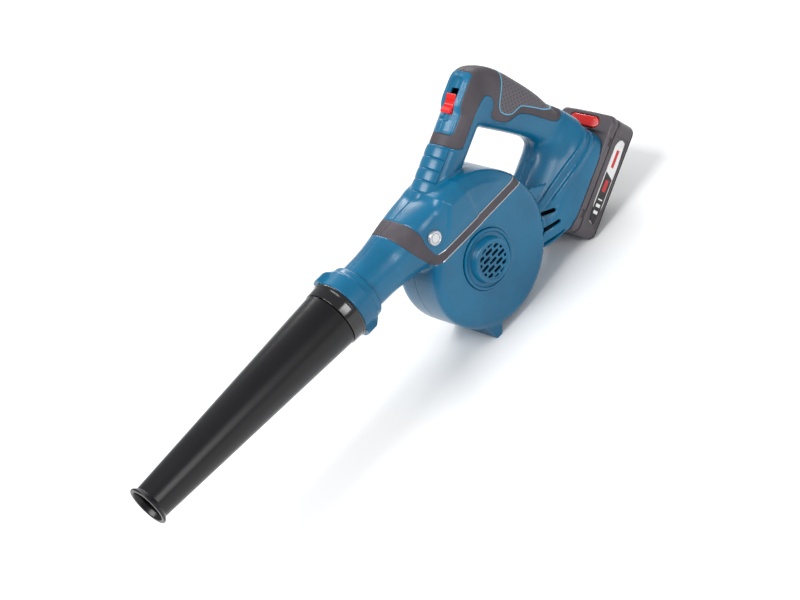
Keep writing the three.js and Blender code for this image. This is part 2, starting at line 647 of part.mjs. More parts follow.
function addPack() {
  const below = (w) => solid(box(0, 260, -80, 80, -200, w));
  const above = (w) => solid(box(0, 260, -80, 80, w, 0));
  const tray = cut(packBlock(0), packBlock(packWall)).intersect(below(packSplit - gap / 2));
  add(upper, 'battery_tray', cut(tray, solid(box(0, packStart + 1, -9, 9, -104, -90))), grey);
  const flange = [
    [-towerFlangeHalf, towerTop], [-towerFlangeHalf, towerFlangeBottom], [-towerStemHalf, towerFlangeBottom],
    [-towerStemHalf, packTop - 1], [towerStemHalf, packTop - 1], [towerStemHalf, towerFlangeBottom],
    [towerFlangeHalf, towerFlangeBottom], [towerFlangeHalf, towerTop],
  ];
  const lid = join(packBlock(0), solid(channel(flange, towerStart, towerEnd)));
  const stem = towerStemHalf - 2;
  const hollow = join(packBlock(packWall),
    solid(box(towerStart + 26, towerEnd - 3, -stem, stem, packTop - 5, towerTop - 2)));
  const slots = terminalRows.map((y) =>
    solid(box(towerStart - 1, towerStart + 24, y - 1.2, y + 1.2, towerTop - 10, towerTop + 1)));
  const room = buttonHalf + gap;
  const pocket = solid(box(buttonFront - gap, buttonBack + gap, -room, room, packTop - 4.5, packTop + 1));
  const gaugePocket = solid(
    box(0, packStart + 2, -gaugeHalf - gap, gaugeHalf + gap, gaugeLow - gap, gaugeHigh + gap));
  const whole = cut(lid, hollow, ...slots);
  const frame = buttonHalf + 2;
  const floor = box(buttonFront - 2, buttonBack + 2, -frame, frame, packTop - 6.5, packTop - 1);
  const pocketed = join(whole, solid(floor));
  const upperPart = cut(pocketed, pocket, gaugePocket).intersect(above(packSplit + gap / 2));
  add(upper, 'battery_lid', largest(upperPart), grey);
}

function addPackButtons() {
  const buttonLow = packTop - 4 + buttonTravel;
  const release = box(buttonFront, buttonBack, -buttonHalf, buttonHalf, buttonLow, packTop + 4);
  add(upper, 'release_button', release, red);
  const gaugeEnd = packStart + 2 - gap - gaugeTravel;
  add(upper, 'gauge_button', box(packStart - 5, gaugeEnd, -gaugeHalf, gaugeHalf, gaugeLow, gaugeHigh), red);
}

function addCells() {
  const first = (packStart + packEnd) / 2 - (cellPitch * (cellCount - 1)) / 2;
  const middle = packBottom + packWall + gap + cellRadius + 1.6;
  for (let i = 0; i < cellCount; i += 1) {
    const cell = discY(cellRadius, -cellLength / 2, cellLength / 2, 20);
    add(upper, `cell_${i + 1}`, cell, green, first + i * cellPitch, 0, middle);
  }
  add(upper, 'cell_cradle', box(first - 9, first + cellPitch * (cellCount - 1) + 9, -26, 26,
    packBottom + packWall + gap, middle - cellRadius - gap), black);
  const board = middle + cellRadius;
  add(upper, 'battery_board', box(first - 4, first + 70, -18, 18, board + gap, board + 2), green);
  for (const [name, y, sign] of [['left', -packHalfWidth, -1], ['right', packHalfWidth, 1]]) {
    const outer = y + sign * 0.5;
    const inner = y + sign * gap;
    const plate = [[73, -118], [150, -118], [160, -108], [158, -101], [80, -101]];
    const label = slab(polygon(plate), Math.min(inner, outer), Math.max(inner, outer));
    add(upper, `pack_label_${name}`, label, white);
  }
}

function addElectronics() {
  add(upper, 'control_board', box(84, 140, -17, 17, -56, -54.4), green);
  add(upper, 'heat_sink', box(92, 118, -14, 14, -54.4 + gap, -46), steel);
  const run = (name, y, points, radius, material) => {
    const path = new THREE.CatmullRomCurve3(points.map(([u, w]) => new THREE.Vector3(u, y, w)));
    const round = new THREE.Shape();
    round.absarc(0, 0, radius, 0, 2 * Math.PI, false);
    const lead = new THREE.ExtrudeGeometry(round, { steps: 10, curveSegments: 3, extrudePath: path });
    add(upper, name, lead, material);
  };
  for (const [name, y, material] of [['positive', -12, red], ['negative', 12, black]]) {
    run(`battery_lead_${name}`, y, [[94, towerTop + 3.5], [93, -63], [89, -60], [88, -57]], 1.2, material);
  }
  for (const [name, y, material] of [['positive', -6, red], ['negative', 6, black]]) {
    run(`switch_lead_${name}`, y, [[140, -50], [143, -20], [141, 20], [136, 44], [126, 51]], 1, material);
  }
}

addHousing();
addTrim();
addSwitch();
addOutlet();
addNozzle();
ventCap(-1, voluteHalfWidth, ventRadius, blue, 'motor_vent_cap', ventReach);
ventCap(1, voluteFarWidth, intakeRadius - 0.5, black, 'intake_grille', ventReach);
addFan();
addMotor();
addDock();
addPack();
addPackButtons();
addCells();
addElectronics();

// The origin sits in the middle of the base of the whole tool's box.
tool.updateMatrixWorld(true);
const bounds = new THREE.Box3().setFromObject(tool, true);
const centre = bounds.getCenter(new THREE.Vector3());
tool.position.set(-centre.x, -centre.y, -bounds.min.z);
const root = new THREE.Group();
root.add(tool);
export default root;
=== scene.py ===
"""Cordless leaf blower: moulded housing, soft grip, tapered nozzle and slide-on battery.

Lengths in this file are millimetres from the fan's axis (X back, Y to the far side, Z up) until a mesh is
made. The handle and the battery are laid out in a tilted frame: u along the battery's slide, w square to it.
"""
import bpy
import math
import numpy as np
from mathutils import Matrix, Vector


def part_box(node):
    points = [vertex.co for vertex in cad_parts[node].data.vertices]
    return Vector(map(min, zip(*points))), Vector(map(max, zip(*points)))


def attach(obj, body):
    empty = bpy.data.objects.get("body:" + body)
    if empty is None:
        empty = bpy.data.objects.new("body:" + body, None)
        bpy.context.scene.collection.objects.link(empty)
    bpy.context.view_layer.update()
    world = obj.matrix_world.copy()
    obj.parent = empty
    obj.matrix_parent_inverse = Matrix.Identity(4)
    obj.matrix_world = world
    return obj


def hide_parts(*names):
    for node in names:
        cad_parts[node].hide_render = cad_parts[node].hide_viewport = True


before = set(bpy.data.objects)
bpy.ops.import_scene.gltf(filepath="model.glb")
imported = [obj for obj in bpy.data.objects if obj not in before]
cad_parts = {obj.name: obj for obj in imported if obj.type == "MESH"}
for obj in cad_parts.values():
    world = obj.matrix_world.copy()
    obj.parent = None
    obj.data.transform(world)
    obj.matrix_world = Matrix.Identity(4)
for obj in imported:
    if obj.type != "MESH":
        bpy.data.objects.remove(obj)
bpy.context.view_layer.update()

MM = 0.001
nut = np.array(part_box("fan_nut"))
FAN = np.array([nut[:, 0].mean(), 0.0, nut[:, 2].mean()])
TILT = math.radians(29.5)
COS, SIN = math.cos(TILT), math.sin(TILT)
STEP = 1.6      # spacing of the housing's surface points
WALL = 2.4                              # thickness of the housing's shells,
COVER_WALL, LINE_WALL = 1.7, 0.8        # of the covers laid in them, and of the narrow lines


# ------------------------------------------------------------------ plane and space arithmetic
def tilted(x, z):
    """The u and w of a point given by x and z."""
    return x * COS + z * SIN, z * COS - x * SIN


def level(points):
    """Points given as u, y, w turned into x, y, z."""
    u, y, w = np.moveaxis(np.asarray(points, float), -1, 0)
    return np.stack([u * COS - w * SIN, y, u * SIN + w * COS], -1)


def along(t, knots, values):
    """A smooth curve through (knot, value) pairs: cubic pieces whose slope at a knot is taken from its
    neighbours."""
    k, v = np.asarray(knots, float), np.asarray(values, float)
    slope = np.gradient(v, k, axis=0)
    i = np.clip(np.searchsorted(k, t) - 1, 0, len(k) - 2)
    h = k[i + 1] - k[i]
    s = np.clip((t - k[i]) / h, 0, 1)
    return ((2 * s ** 3 - 3 * s ** 2 + 1) * v[i] + (s ** 3 - 2 * s ** 2 + s) * h * slope[i]
            + (3 * s ** 2 - 2 * s ** 3) * v[i + 1] + (s ** 3 - s ** 2) * h * slope[i + 1])


def step(t, low, high):
    """0 below low, 1 above high, and a smooth s between."""
    s = np.clip((t - low) / (high - low), 0, 1)
    return s * s * (3 - 2 * s)


def joined(a, b, k):
    """The smaller of two distances, rounded off over a width k where they meet."""
    h = np.clip(0.5 + 0.5 * (b - a) / k, 0, 1)
    return b + (a - b) * h - k * h * (1 - h)


def common(a, b, k):
    """The larger of two distances, rounded off over a width k where they meet."""
    return -joined(-a, -b, k)


def rounded_off(corners, turns=2):
    """A closed outline with its corners cut: each side keeps its middle half, and this is done turns
    times."""
    c = np.asarray(corners, float)
    for _ in range(turns):
        after = np.roll(c, -1, axis=0)
        c = np.stack([0.75 * c + 0.25 * after, 0.25 * c + 0.75 * after], 1).reshape(-1, 2)
    return c


def outline_distance(a, b, outline):
    """Distance in a plane to a closed outline: the least to any of its sides, negative where a ray to the
    side crosses it an odd number of times."""
    a, b = np.broadcast_arrays(a, b)
    best, inside = np.full(a.shape, 1e9), np.zeros(a.shape, bool)
    for (p, q), (r, s) in zip(outline, np.roll(outline, -1, axis=0)):
        du, dv = r - p, s - q
        t = np.clip(((a - p) * du + (b - q) * dv) / (du * du + dv * dv), 0, 1)
        best = np.minimum(best, (a - p - t * du) ** 2 + (b - q - t * dv) ** 2)
        if dv:
            inside ^= ((q <= b) != (s <= b)) & (a < p + (b - q) * du / dv)
    return np.where(inside, -1, 1) * np.sqrt(best)


def round_corner(a, b, radius):
    """Distance to a rounded corner, from the distances a and b to its two straight sides: where both sides
    grown inwards by the radius are positive the hypotenuse counts, elsewhere the larger one."""
    a, b = a + radius, b + radius
    return np.minimum(np.maximum(a, b), 0) + np.hypot(np.maximum(a, 0), np.maximum(b, 0)) - radius


def squared_ring(a, b, half_a, half_b, power):
    """Distance along the ray from the centre to a superellipse of the two half sizes."""
    ratio = (np.abs(a / half_a) ** power + np.abs(b / half_b) ** power + 1e-9) ** (1 / power)
    return (1 - 1 / ratio) * np.hypot(a, b)


# ------------------------------------------------------------------ the housing's solid shape
TONGUE, SWEEP, TONGUE_R, TOP = 148, 303, 60, 86
turned = np.linspace(0, SWEEP, 64)
share = turned / SWEEP
spiral = TONGUE_R + (TOP - TONGUE_R) * share * (1.5 - 0.5 * share)
bearing = np.radians(TONGUE + turned)
SCROLL = np.concatenate([np.stack([spiral * np.cos(bearing), spiral * np.sin(bearing)], 1), [[-14, TOP]]])
NEAR, FAR = 34.0, 32.0                   # the drum's faces from the parting plane
RIM_NEAR, RIM_FAR = 9.0, 15.0            # rounding of its two rims
SHAFT_R, SHAFT_W = 18.5, 65.2            # the handle's round shaft: radius, and the w of its middle line
DUCT_X = [-160, -128, -110, -92, -74, -60, -46, -30, -8, 20]
DUCT = np.array([                       # near side, far side, bottom, top, squareness
    [-24, 24, 32, 80, 2], [-24, 24, 32, 80, 2], [-24, 24, 32, 80, 2], [-24.4, 24.4, 31.6, 80.4, 2],
    [-26, 26, 30, 82, 2.05], [-28.4, 26.6, 30, 83.4, 2.4], [-31.5, 27, 30, 84.3, 3], [-33, 28, 30, 85, 3.8],
    [-33.5, 29, 30, 85, 5], [-33.5, 29, 30, 85, 5]])
GRIP_W = [-56, -48, -30, -7, 27, 45, 62, 75, 90]
GRIP = np.array([                       # front, back, half width
    [130, 159, 18.5], [128.5, 159, 18.5], [126.5, 160, 18], [123, 164, 18.5], [116, 166, 18.5],
    [112, 166, 18.5], [108, 164, 18.3], [110, 159, 17.4], [116, 152, 15.5]])
REAR_W = [-96, -90.5, -78, -67, -56, -46, -39, -34]
REAR = np.array([
    [54, 157.5, 37.5], [52, 157.5, 37.3], [34, 158, 35.5], [28, 158.5, 32.5], [36, 159, 25.8], [46, 159, 20],
    [54, 158.5, 14], [60, 158, 9]])
BASE = float(nut[:, 2].mean() / MM)      # the fan axis above the floor
WEB = [(60, 28), (79.6, 17.1), (95.8, 8.6), (101, 6), (84.3, 2.7), (60, 0)]
FOOT = [(-30, -BASE), (-21.5, -BASE), (-12, -60), (-32.5, -60)]


def scroll(x, z):
    return outline_distance(x, z, SCROLL)


def housing_field(x, y, z):
    """Distance to the housing: a spiral drum with rounded rims, a duct whose section turns from a box to a
    round neck, a round shaft, a grip and a rear body carried along w, and a foot, all run together with
    fillets."""
    u, w = tilted(x, z)
    drum = round_corner(scroll(x, z), np.where(y < 0, -y - NEAR, y - FAR), np.where(y < 0, RIM_NEAR, RIM_FAR))

    side = [along(x, DUCT_X, DUCT[:, i]) for i in range(5)]
    duct = squared_ring(y - (side[0] + side[1]) / 2, z - (side[2] + side[3]) / 2, (side[1] - side[0]) / 2,
                        (side[3] - side[2]) / 2, side[4])
    duct = np.maximum(np.maximum(duct, -128 - x), x - 10)

    shaft = common(common(np.hypot(y, w - SHAFT_W) - SHAFT_R, u - 146, 8), 20 - u, 2)
    front, back, half = (along(w, GRIP_W, GRIP[:, i]) for i in range(3))
    grip = squared_ring(u - (front + back) / 2, y, (back - front) / 2, half, 3.2)
    grip = np.maximum(common(grip, w - 84, 12), -56 - w)
    handle = joined(shaft, grip, 4)

    front, back, half = (along(w, REAR_W, REAR[:, i]) for i in range(3))
    rear = squared_ring(u - (front + back) / 2, y, (back - front) / 2, half, 4.5)
    rear = np.maximum(common(rear, w + 36, 10), -90.5 - w)

    foot = np.maximum(outline_distance(x, z, FOOT), np.abs(y) - 31)
    body = common(joined(drum, duct, 6), 0.66 * y + 0.75 * z - 76.5, 6)
    body = joined(body, handle, 3)
    body = joined(body, joined(rear, grip, 20), 4)
    web = np.maximum(outline_distance(x, z, WEB), np.abs(y + 27.5) - 1.5)
    return np.maximum(joined(joined(body, foot, 2.5), web, 1.5), -BASE - z)


# ----------------------------------------------------------------- skins: triangles on a field's zero surface
def slope_of(field, p, reach=0.05):
    """The field's gradient by central differences."""
    sides = [field(*(p + reach * way).T) - field(*(p - reach * way).T) for way in np.eye(3)]
    return np.stack(sides, 1) / (2 * reach)


def surface_of(field, low, high, pitch):
    """Each grid cell that the zero surface crosses gets one point, the mean of the crossings on its sides,
    and each crossed grid side a quad between the four cells round it. The points then slide down the slope to
    zero."""
    axes = [np.arange(a, b + pitch, pitch) for a, b in zip(low, high)]
    d = np.ascontiguousarray(np.broadcast_to(field(*np.ix_(*axes)), tuple(map(len, axes))))
    inside, size = d < 0, np.array(d.shape) - 1
    corners = np.array(list(np.ndindex(2, 2, 2)))
    filled = sum(inside[a:size[0] + a, b:size[1] + b, c:size[2] + c].astype(int) for a, b, c in corners)
    cut = (filled > 0) & (filled < 8)
    number = np.full(size, -1)
    number[cut] = np.arange(cut.sum())
    cells = np.argwhere(cut)
    total, hits, quads = np.zeros((len(cells), 3)), np.zeros(len(cells)), []
    for axis, way in enumerate(np.eye(3, dtype=int)):
        for start in corners[corners[:, axis] == 0]:
            a, b = d[tuple((cells + start).T)], d[tuple((cells + start + way).T)]
            crossed = (a < 0) != (b < 0)
            share = np.where(crossed, a / np.where(crossed, a - b, 1), 0)
            total += crossed[:, None] * (cells * 0 + start + share[:, None] * way)
            hits += crossed
        ends = np.moveaxis(inside, axis, 0)
        node = np.argwhere(np.moveaxis(np.concatenate([ends[:-1] != ends[1:], ends[:1] & False]), 0, axis))
        first, second = np.eye(3, dtype=int)[[(axis + 1) % 3, (axis + 2) % 3]]
        free = ((node > 0) & (node < size))[:, [(axis + 1) % 3, (axis + 2) % 3]].all(1)
        node = node[free]
        ring = np.stack([number[tuple((node - o).T)] for o in (0 * first, first, first + second, second)], 1)
        outward = inside[tuple(node.T)]
        quads.append(np.where(outward[:, None], ring, ring[:, ::-1]))
    p = np.array(low) + pitch * (cells + total / hits[:, None])
    for _ in range(3):
        g = slope_of(field, p)
        p = p - np.clip(field(*p.T) / (g * g).sum(1), -pitch, pitch)[:, None] * g
    quads, g = np.concatenate(quads), slope_of(field, p)
    rows = np.concatenate([p, g / np.linalg.norm(g, axis=1, keepdims=True)], 1)
    return Skin(rows, np.concatenate([quads[:, [0, 1, 2]], quads[:, [0, 2, 3]]]))


def split(rows, tris, value):
    """Cuts every triangle that the zero line of a value crosses, along that line. A row is a point and its
    normal. Returns the rows, the triangles and which of them lie below zero."""
    value = np.where(np.abs(value) < 0.04, -0.04, value)
    below = value < 0
    count = below[tris].sum(1)

    def odd_first(some, odd):
        first = np.argmax(odd[some], 1) if len(some) else np.zeros(0, int)
        return some[np.arange(len(some))[:, None], (first[:, None] + np.arange(3)) % 3]

    one, two = odd_first(tris[count == 1], below), odd_first(tris[count == 2], ~below)
    odd = np.concatenate([one, two])
    ends = np.sort(np.concatenate([odd[:, [0, 1]], odd[:, [0, 2]]]), 1)
    keys, back = np.unique(ends[:, 0] * len(rows) + ends[:, 1], return_inverse=True)
    a, b = keys // len(rows), keys % len(rows)
    fresh = rows[a] + (value[a] / (value[a] - value[b]))[:, None] * (rows[b] - rows[a])
    p, q = len(rows) + back.reshape(2, -1)
    tip = np.stack([odd[:, 0], p, q], 1)
    base = np.concatenate([np.stack([p, odd[:, 1], odd[:, 2]], 1), np.stack([p, odd[:, 2], q], 1)])
    tip_below = np.arange(len(odd)) < len(one)
    sides = [np.zeros((count == 0).sum(), bool), np.ones((count == 3).sum(), bool), tip_below,
             np.tile(~tip_below, 2)]
    return (np.concatenate([rows, fresh]), np.concatenate([tris[count == 0], tris[count == 3], tip, base]),
            np.concatenate(sides))


class Skin:
    """An open or closed triangle surface that regions, given as distances of x, y and z, mark, raise and
    trim. Each row holds a point and the normal it is raised along."""

    def __init__(self, rows, tris):
        used, back = np.unique(tris, return_inverse=True)
        self.rows, self.tris = rows[used], back.reshape(-1, 3)

    def at(self, region):
        return region(*self.rows[:, :3].T)

    def scored(self, region, *marks):
        """Puts a line of points along each line where the region's distance is a mark."""
        skin = self
        for mark in marks:
            skin = Skin(*split(skin.rows, skin.tris, skin.at(region) - mark)[:2])
        return skin

    def shaped(self, region, heights, window=None):
        """Raises the surface by a height looked up from the region's distance, inside the window."""
        marks, rise = zip(*heights)
        skin = self.scored(region, *marks)
        lift = np.interp(skin.at(region), marks, rise) * (1.0 if window is None else skin.at(window))
        skin.rows[:, :3] += lift[:, None] * skin.rows[:, 3:]
        return skin

    def kept(self, region):
        """The part where the region's distance is below zero."""
        rows, tris, below = split(self.rows, self.tris, self.at(region))
        return Skin(rows, tris[below])

    def without(self, region):
        return self.kept(lambda x, y, z: -region(x, y, z))

    def lifted(self, height):
        """The surface moved out along its normals."""
        rows = self.rows.copy()
        rows[:, :3] += height * rows[:, 3:]
        return Skin(rows, self.tris)

    def walled(self, depth):
        """A closed shell: the surface, a copy pushed inwards by depth, and a strip along every free edge."""
        n, outer = len(self.rows), self.rows[:, :3]
        inner = outer - depth * self.rows[:, 3:] / np.linalg.norm(self.rows[:, 3:], axis=1, keepdims=True)
        sides = np.concatenate([self.tris[:, [0, 1]], self.tris[:, [1, 2]], self.tris[:, [2, 0]]])
        key, other = sides[:, 0] * n + sides[:, 1], sides[:, 1] * n + sides[:, 0]
        a, b = sides[~np.isin(key, other)].T
        strip = [np.stack([b, a, a + n], 1), np.stack([b, a + n, b + n], 1)]
        return np.concatenate([outer, inner]), np.concatenate([self.tris, self.tris[:, ::-1] + n, *strip])


# ------------------------------------------------------------------ meshes
def mesh_piece(name, points, faces, material, body, node=None, slot=None, sharp=42):
    """A mesh of points in millimetres and faces of equal length, riding on a body and standing for a CAD
    node."""
    points, faces = np.asarray(points, float).reshape(-1, 3), np.asarray(faces)
    ring = points[faces]
    if (np.cross(ring, np.roll(ring, -1, axis=1)).sum(1) * ring.mean(1)).sum() < 0:
        faces = faces[:, ::-1]
    mesh = bpy.data.meshes.new(name)
    mesh.from_pydata((points * MM + FAN).tolist(), [], faces.tolist())
    mesh.shade_smooth()
    mesh.set_sharp_from_angle(angle=math.radians(sharp))
    mesh.materials.append(material)
    piece = bpy.data.objects.new(name, mesh)
    bpy.context.scene.collection.objects.link(piece)
    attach(piece, body)
    if node:
        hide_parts(*([node] if isinstance(node, str) else node))
    return piece


def grid_faces(rows, columns, closed_rows=False):
    """Quads between neighbouring points of a grid laid out row by row, whose columns close on themselves."""
    i, j = np.meshgrid(np.arange(rows if closed_rows else rows - 1), np.arange(columns), indexing="ij")
    ni, nj = (i + 1) % rows, (j + 1) % columns
    quads = np.stack([i * columns + j, i * columns + nj, ni * columns + nj, ni * columns + j], -1)
    return quads.reshape(-1, 4)


def capped(rings):
    """Rings of equal size joined by triangles and closed at both ends by a fan round the ring's middle."""
    rings = np.asarray(rings, float)
    n, m = rings.shape[:2]
    quads, j = grid_faces(n, m), np.arange(m)
    k = (j + 1) % m
    fans = [np.stack([j * 0 + n * m, k, j], 1),
            np.stack([j * 0 + n * m + 1, (n - 1) * m + j, (n - 1) * m + k], 1)]
    return (np.concatenate([rings.reshape(-1, 3), rings[[0, -1]].mean(1)]),
            np.concatenate([quads[:, [0, 1, 2]], quads[:, [0, 2, 3]], *fans]))


def divided(outline, pitch):
    """A closed outline with points added so that none is farther than pitch from the next."""
    p = np.asarray(outline, float)
    q = np.roll(p, -1, axis=0)
    counts = np.maximum(1, np.ceil(np.linalg.norm(q - p, axis=1) / pitch)).astype(int)
    return np.concatenate([a + (b - a) * np.arange(n)[:, None] / n for a, b, n in zip(p, q, counts)])


def lathe(profile, count):
    """A closed profile of (distance along the axis, radius) turned about the X axis, as points and quads."""
    p = np.asarray(profile, float)
    angle = np.linspace(0, 2 * math.pi, count, endpoint=False)
    points = np.stack([np.broadcast_to(p[:, 0, None], (len(p), count)), p[:, 1, None] * np.cos(angle),
                       p[:, 1, None] * np.sin(angle)], -1)
    return points, grid_faces(len(p), count, closed_rows=True)


def eased(profile, radius, count=4):
    """A closed profile with each corner replaced by an arc-like curve that starts radius from the corner."""
    p = np.asarray(profile, float)
    before, after = np.roll(p, 1, axis=0) - p, np.roll(p, -1, axis=0) - p
    reach = [np.minimum(radius, 0.45 * np.linalg.norm(d, axis=1))[:, None] * d / np.maximum(
        np.linalg.norm(d, axis=1), 1e-9)[:, None] for d in (before, after)]
    t = np.linspace(0, 1, count)[None, :, None]
    curve = ((1 - t) ** 2 * (p + reach[0])[:, None] + 2 * t * (1 - t) * p[:, None]
             + t ** 2 * (p + reach[1])[:, None])
    return curve.reshape(-1, 2)


# ------------------------------------------------------------------ materials
class Value:
    """A socket of a material's nodes that Python's operators act on."""

    def __init__(self, tree, socket):
        self.tree, self.socket = tree, socket

    def _math(self, operation, *others, flip=False):
        sides = [*others, self] if flip else [self, *others]
        return node(self.tree, "ShaderNodeMath", {"operation": operation}, dict(enumerate(sides)))

    def __add__(self, other): return self._math("ADD", other)
    def __radd__(self, other): return self._math("ADD", other)
    def __sub__(self, other): return self._math("SUBTRACT", other)
    def __rsub__(self, other): return self._math("SUBTRACT", other, flip=True)
    def __mul__(self, other): return self._math("MULTIPLY", other)
    def __rmul__(self, other): return self._math("MULTIPLY", other)

    def most(self, other): return self._math("MAXIMUM", other)
    def size(self): return self._math("ABSOLUTE")
    def wave(self): return self._math("SINE")
    def root(self): return self._math("SQRT")
    def whole(self): return self._math("FLOOR")
    def rest(self): return self._math("FRACT")
    def to_and_fro(self, reach): return self._math("PINGPONG", reach)

    def ramp(self, low, high):
        """0 at low and 1 at high, smooth between."""
        return node(self.tree, "ShaderNodeMapRange", {"interpolation_type": "SMOOTHSTEP"},
                    {"Value": self, "From Min": low, "From Max": high})


def node(tree, kind, settings=None, inputs=None, output=0):
    """Any node: its settings are set first, then each named or numbered socket gets a value or a link."""
    made = tree.nodes.new(kind)
    for key, value in (settings or {}).items():
        setattr(made, key, value)
    for key, value in (inputs or {}).items():
        socket = made.inputs[key]
        value = value.socket if isinstance(value, Value) else value
        if isinstance(value, bpy.types.NodeSocket):
            tree.links.new(value, socket)
        else:
            socket.default_value = value
    return Value(tree, made.outputs[output])


def rgb(red, green, blue):
    """A screen colour from 0 to 255 as linear light."""
    c = np.array([red, green, blue]) / 255
    return tuple(float(v) for v in np.where(c < 0.04045, c / 12.92, ((c + 0.055) / 1.055) ** 2.4)) + (1.0,)


def mixed(tree, share, a, b):
    """Colour a where the share is 0, colour b where it is 1."""
    return node(tree, "ShaderNodeMix", {"data_type": "RGBA"}, {0: share, 6: a, 7: b}, 2)


def xyz(tree, place):
    """The three numbers of a point, in millimetres from the fan's axis."""
    return [(node(tree, "ShaderNodeSeparateXYZ", None, {0: place}, i) - float(FAN[i])) * (1 / MM)
            for i in range(3)]


def material(name, colour, roughness, paint=None, **constants):
    """A principled material. paint(tree, place) may return Base Color, Roughness and Height; place is the
    point in object coordinates, and Height in millimetres drives a bump."""
    made = bpy.data.materials.new(name)
    made.use_nodes = True
    tree = made.node_tree
    shader = tree.nodes["Principled BSDF"]
    shader.inputs["Base Color"].default_value = colour
    shader.inputs["Roughness"].default_value = roughness
    for key, value in constants.items():
        shader.inputs[key.replace("_", " ")].default_value = value
    if paint:
        place = node(tree, "ShaderNodeTexCoord", output=3)
        for key, value in paint(tree, place).items():
            if key == "Height":
                value = node(tree, "ShaderNodeBump", None, {"Height": value, "Strength": 1.0, "Distance": MM})
                key = "Normal"
            tree.links.new(value.socket, shader.inputs[key])
    return made


def noise(tree, place, scale, detail=2.0, rough=0.5):
    """Cloudy noise between 0 and 1, with so many waves in a metre."""
    return node(tree, "ShaderNodeTexNoise", None,
                {"Vector": place, "Scale": scale, "Detail": detail, "Roughness": rough}, 0)


def moulded(colour, darker, grain=0.012, base_rough=0.36):
    """Moulded plastic: slow drift of tone, fine spark-eroded grain in the surface and in its gloss."""
    def paint(tree, place):
        drift = noise(tree, place, 22, 3)
        grit = noise(tree, place, 2600, 2)
        scuff = noise(tree, place, 190, 5, 0.65).ramp(0.58, 0.78)
        tone = mixed(tree, drift.ramp(0.3, 0.7), colour, darker)
        return {"Base Color": tone, "Roughness": base_rough + (grit - 0.5) * 0.08 + scuff * 0.07,
                "Height": grit * grain + drift * 0.05}
    return paint


def soft_grain(colour, darker):
    """Soft rubbery cover: matt, finely pitted, a little lighter where it is rubbed."""
    def paint(tree, place):
        pits = noise(tree, place, 1500, 3, 0.6)
        drift = noise(tree, place, 30, 3)
        tone = mixed(tree, drift.ramp(0.25, 0.75), darker, colour)
        return {"Base Color": tone, "Roughness": 0.5 + pits * 0.16, "Height": pits * 0.035}
    return paint


def plastic(name, colour, darker, gloss, grain=0.008, coat=0.0):
    """Moulded plastic under a thin clear gloss. gloss is its roughness and grain its depth in millimetres."""
    return material(name, colour, gloss, moulded(colour, darker, grain, gloss), Coat_Weight=coat,
                    Coat_Roughness=0.15, Specular_IOR_Level=0.36)


def metal(name, colour, darker, rough, across=0):
    """Bare metal with fine tool marks that run round or along one of the three directions."""
    def paint(tree, place):
        x = xyz(tree, place)[across]
        marks = (x * 9.0 + noise(tree, place, 300, 2) * 3.0).wave()
        stain = noise(tree, place, 60, 4, 0.6)
        return {"Base Color": mixed(tree, stain.ramp(0.35, 0.75), colour, darker),
                "Roughness": rough + marks * 0.04 + stain * 0.12, "Height": marks * 0.004}
    return material(name, colour, rough, paint, Metallic=1.0)


DOT_ROW, DOT_PITCH = 2.9, 5.2             # between rows of dots, and between dots in a row


def dotted(tree, place):
    """Small dark raised dots on the soft cover, in rows along the handle with every other row shifted by half
    a dot. The rows are counted along the cover's girth, which w less the distance from the parting plane
    stands for."""
    x, y, z = xyz(tree, place)
    u, w = x * COS + z * SIN, z * COS - x * SIN
    row = (w - y.size()) * (1 / DOT_ROW)
    column = u * (1 / DOT_PITCH) + row.whole().to_and_fro(1.0) * 0.5
    across, ahead = (row.rest() - 0.5) * DOT_ROW, (column.rest() - 0.5) * DOT_PITCH
    dot = 1.0 - (across * across + ahead * ahead).root().ramp(0.5, 0.75)
    pits = noise(tree, place, 1500, 3, 0.6)
    return {"Base Color": mixed(tree, dot, rgb(92, 87, 93), rgb(28, 26, 29)),
            "Roughness": 0.5 + pits * 0.12 - dot * 0.1, "Height": dot * 0.35 + pits * 0.03}


def face_of_badge(tree, place):
    """A plain pale disc inside a grey ring line and a silver rim."""
    x, y, z = xyz(tree, place)
    a, b = x - BADGE[0], z - BADGE[1]
    r = (a * a + b * b).root()
    rim = r.ramp(5.5, 5.7)
    line = r.ramp(4.2, 4.3) * (1.0 - r.ramp(4.7, 4.8))
    tone = mixed(tree, line, mixed(tree, rim, rgb(214, 216, 218), rgb(188, 191, 196)), rgb(70, 78, 88))
    return {"Base Color": tone, "Roughness": 0.3 - rim * 0.08, "Metallic": rim * 0.7}


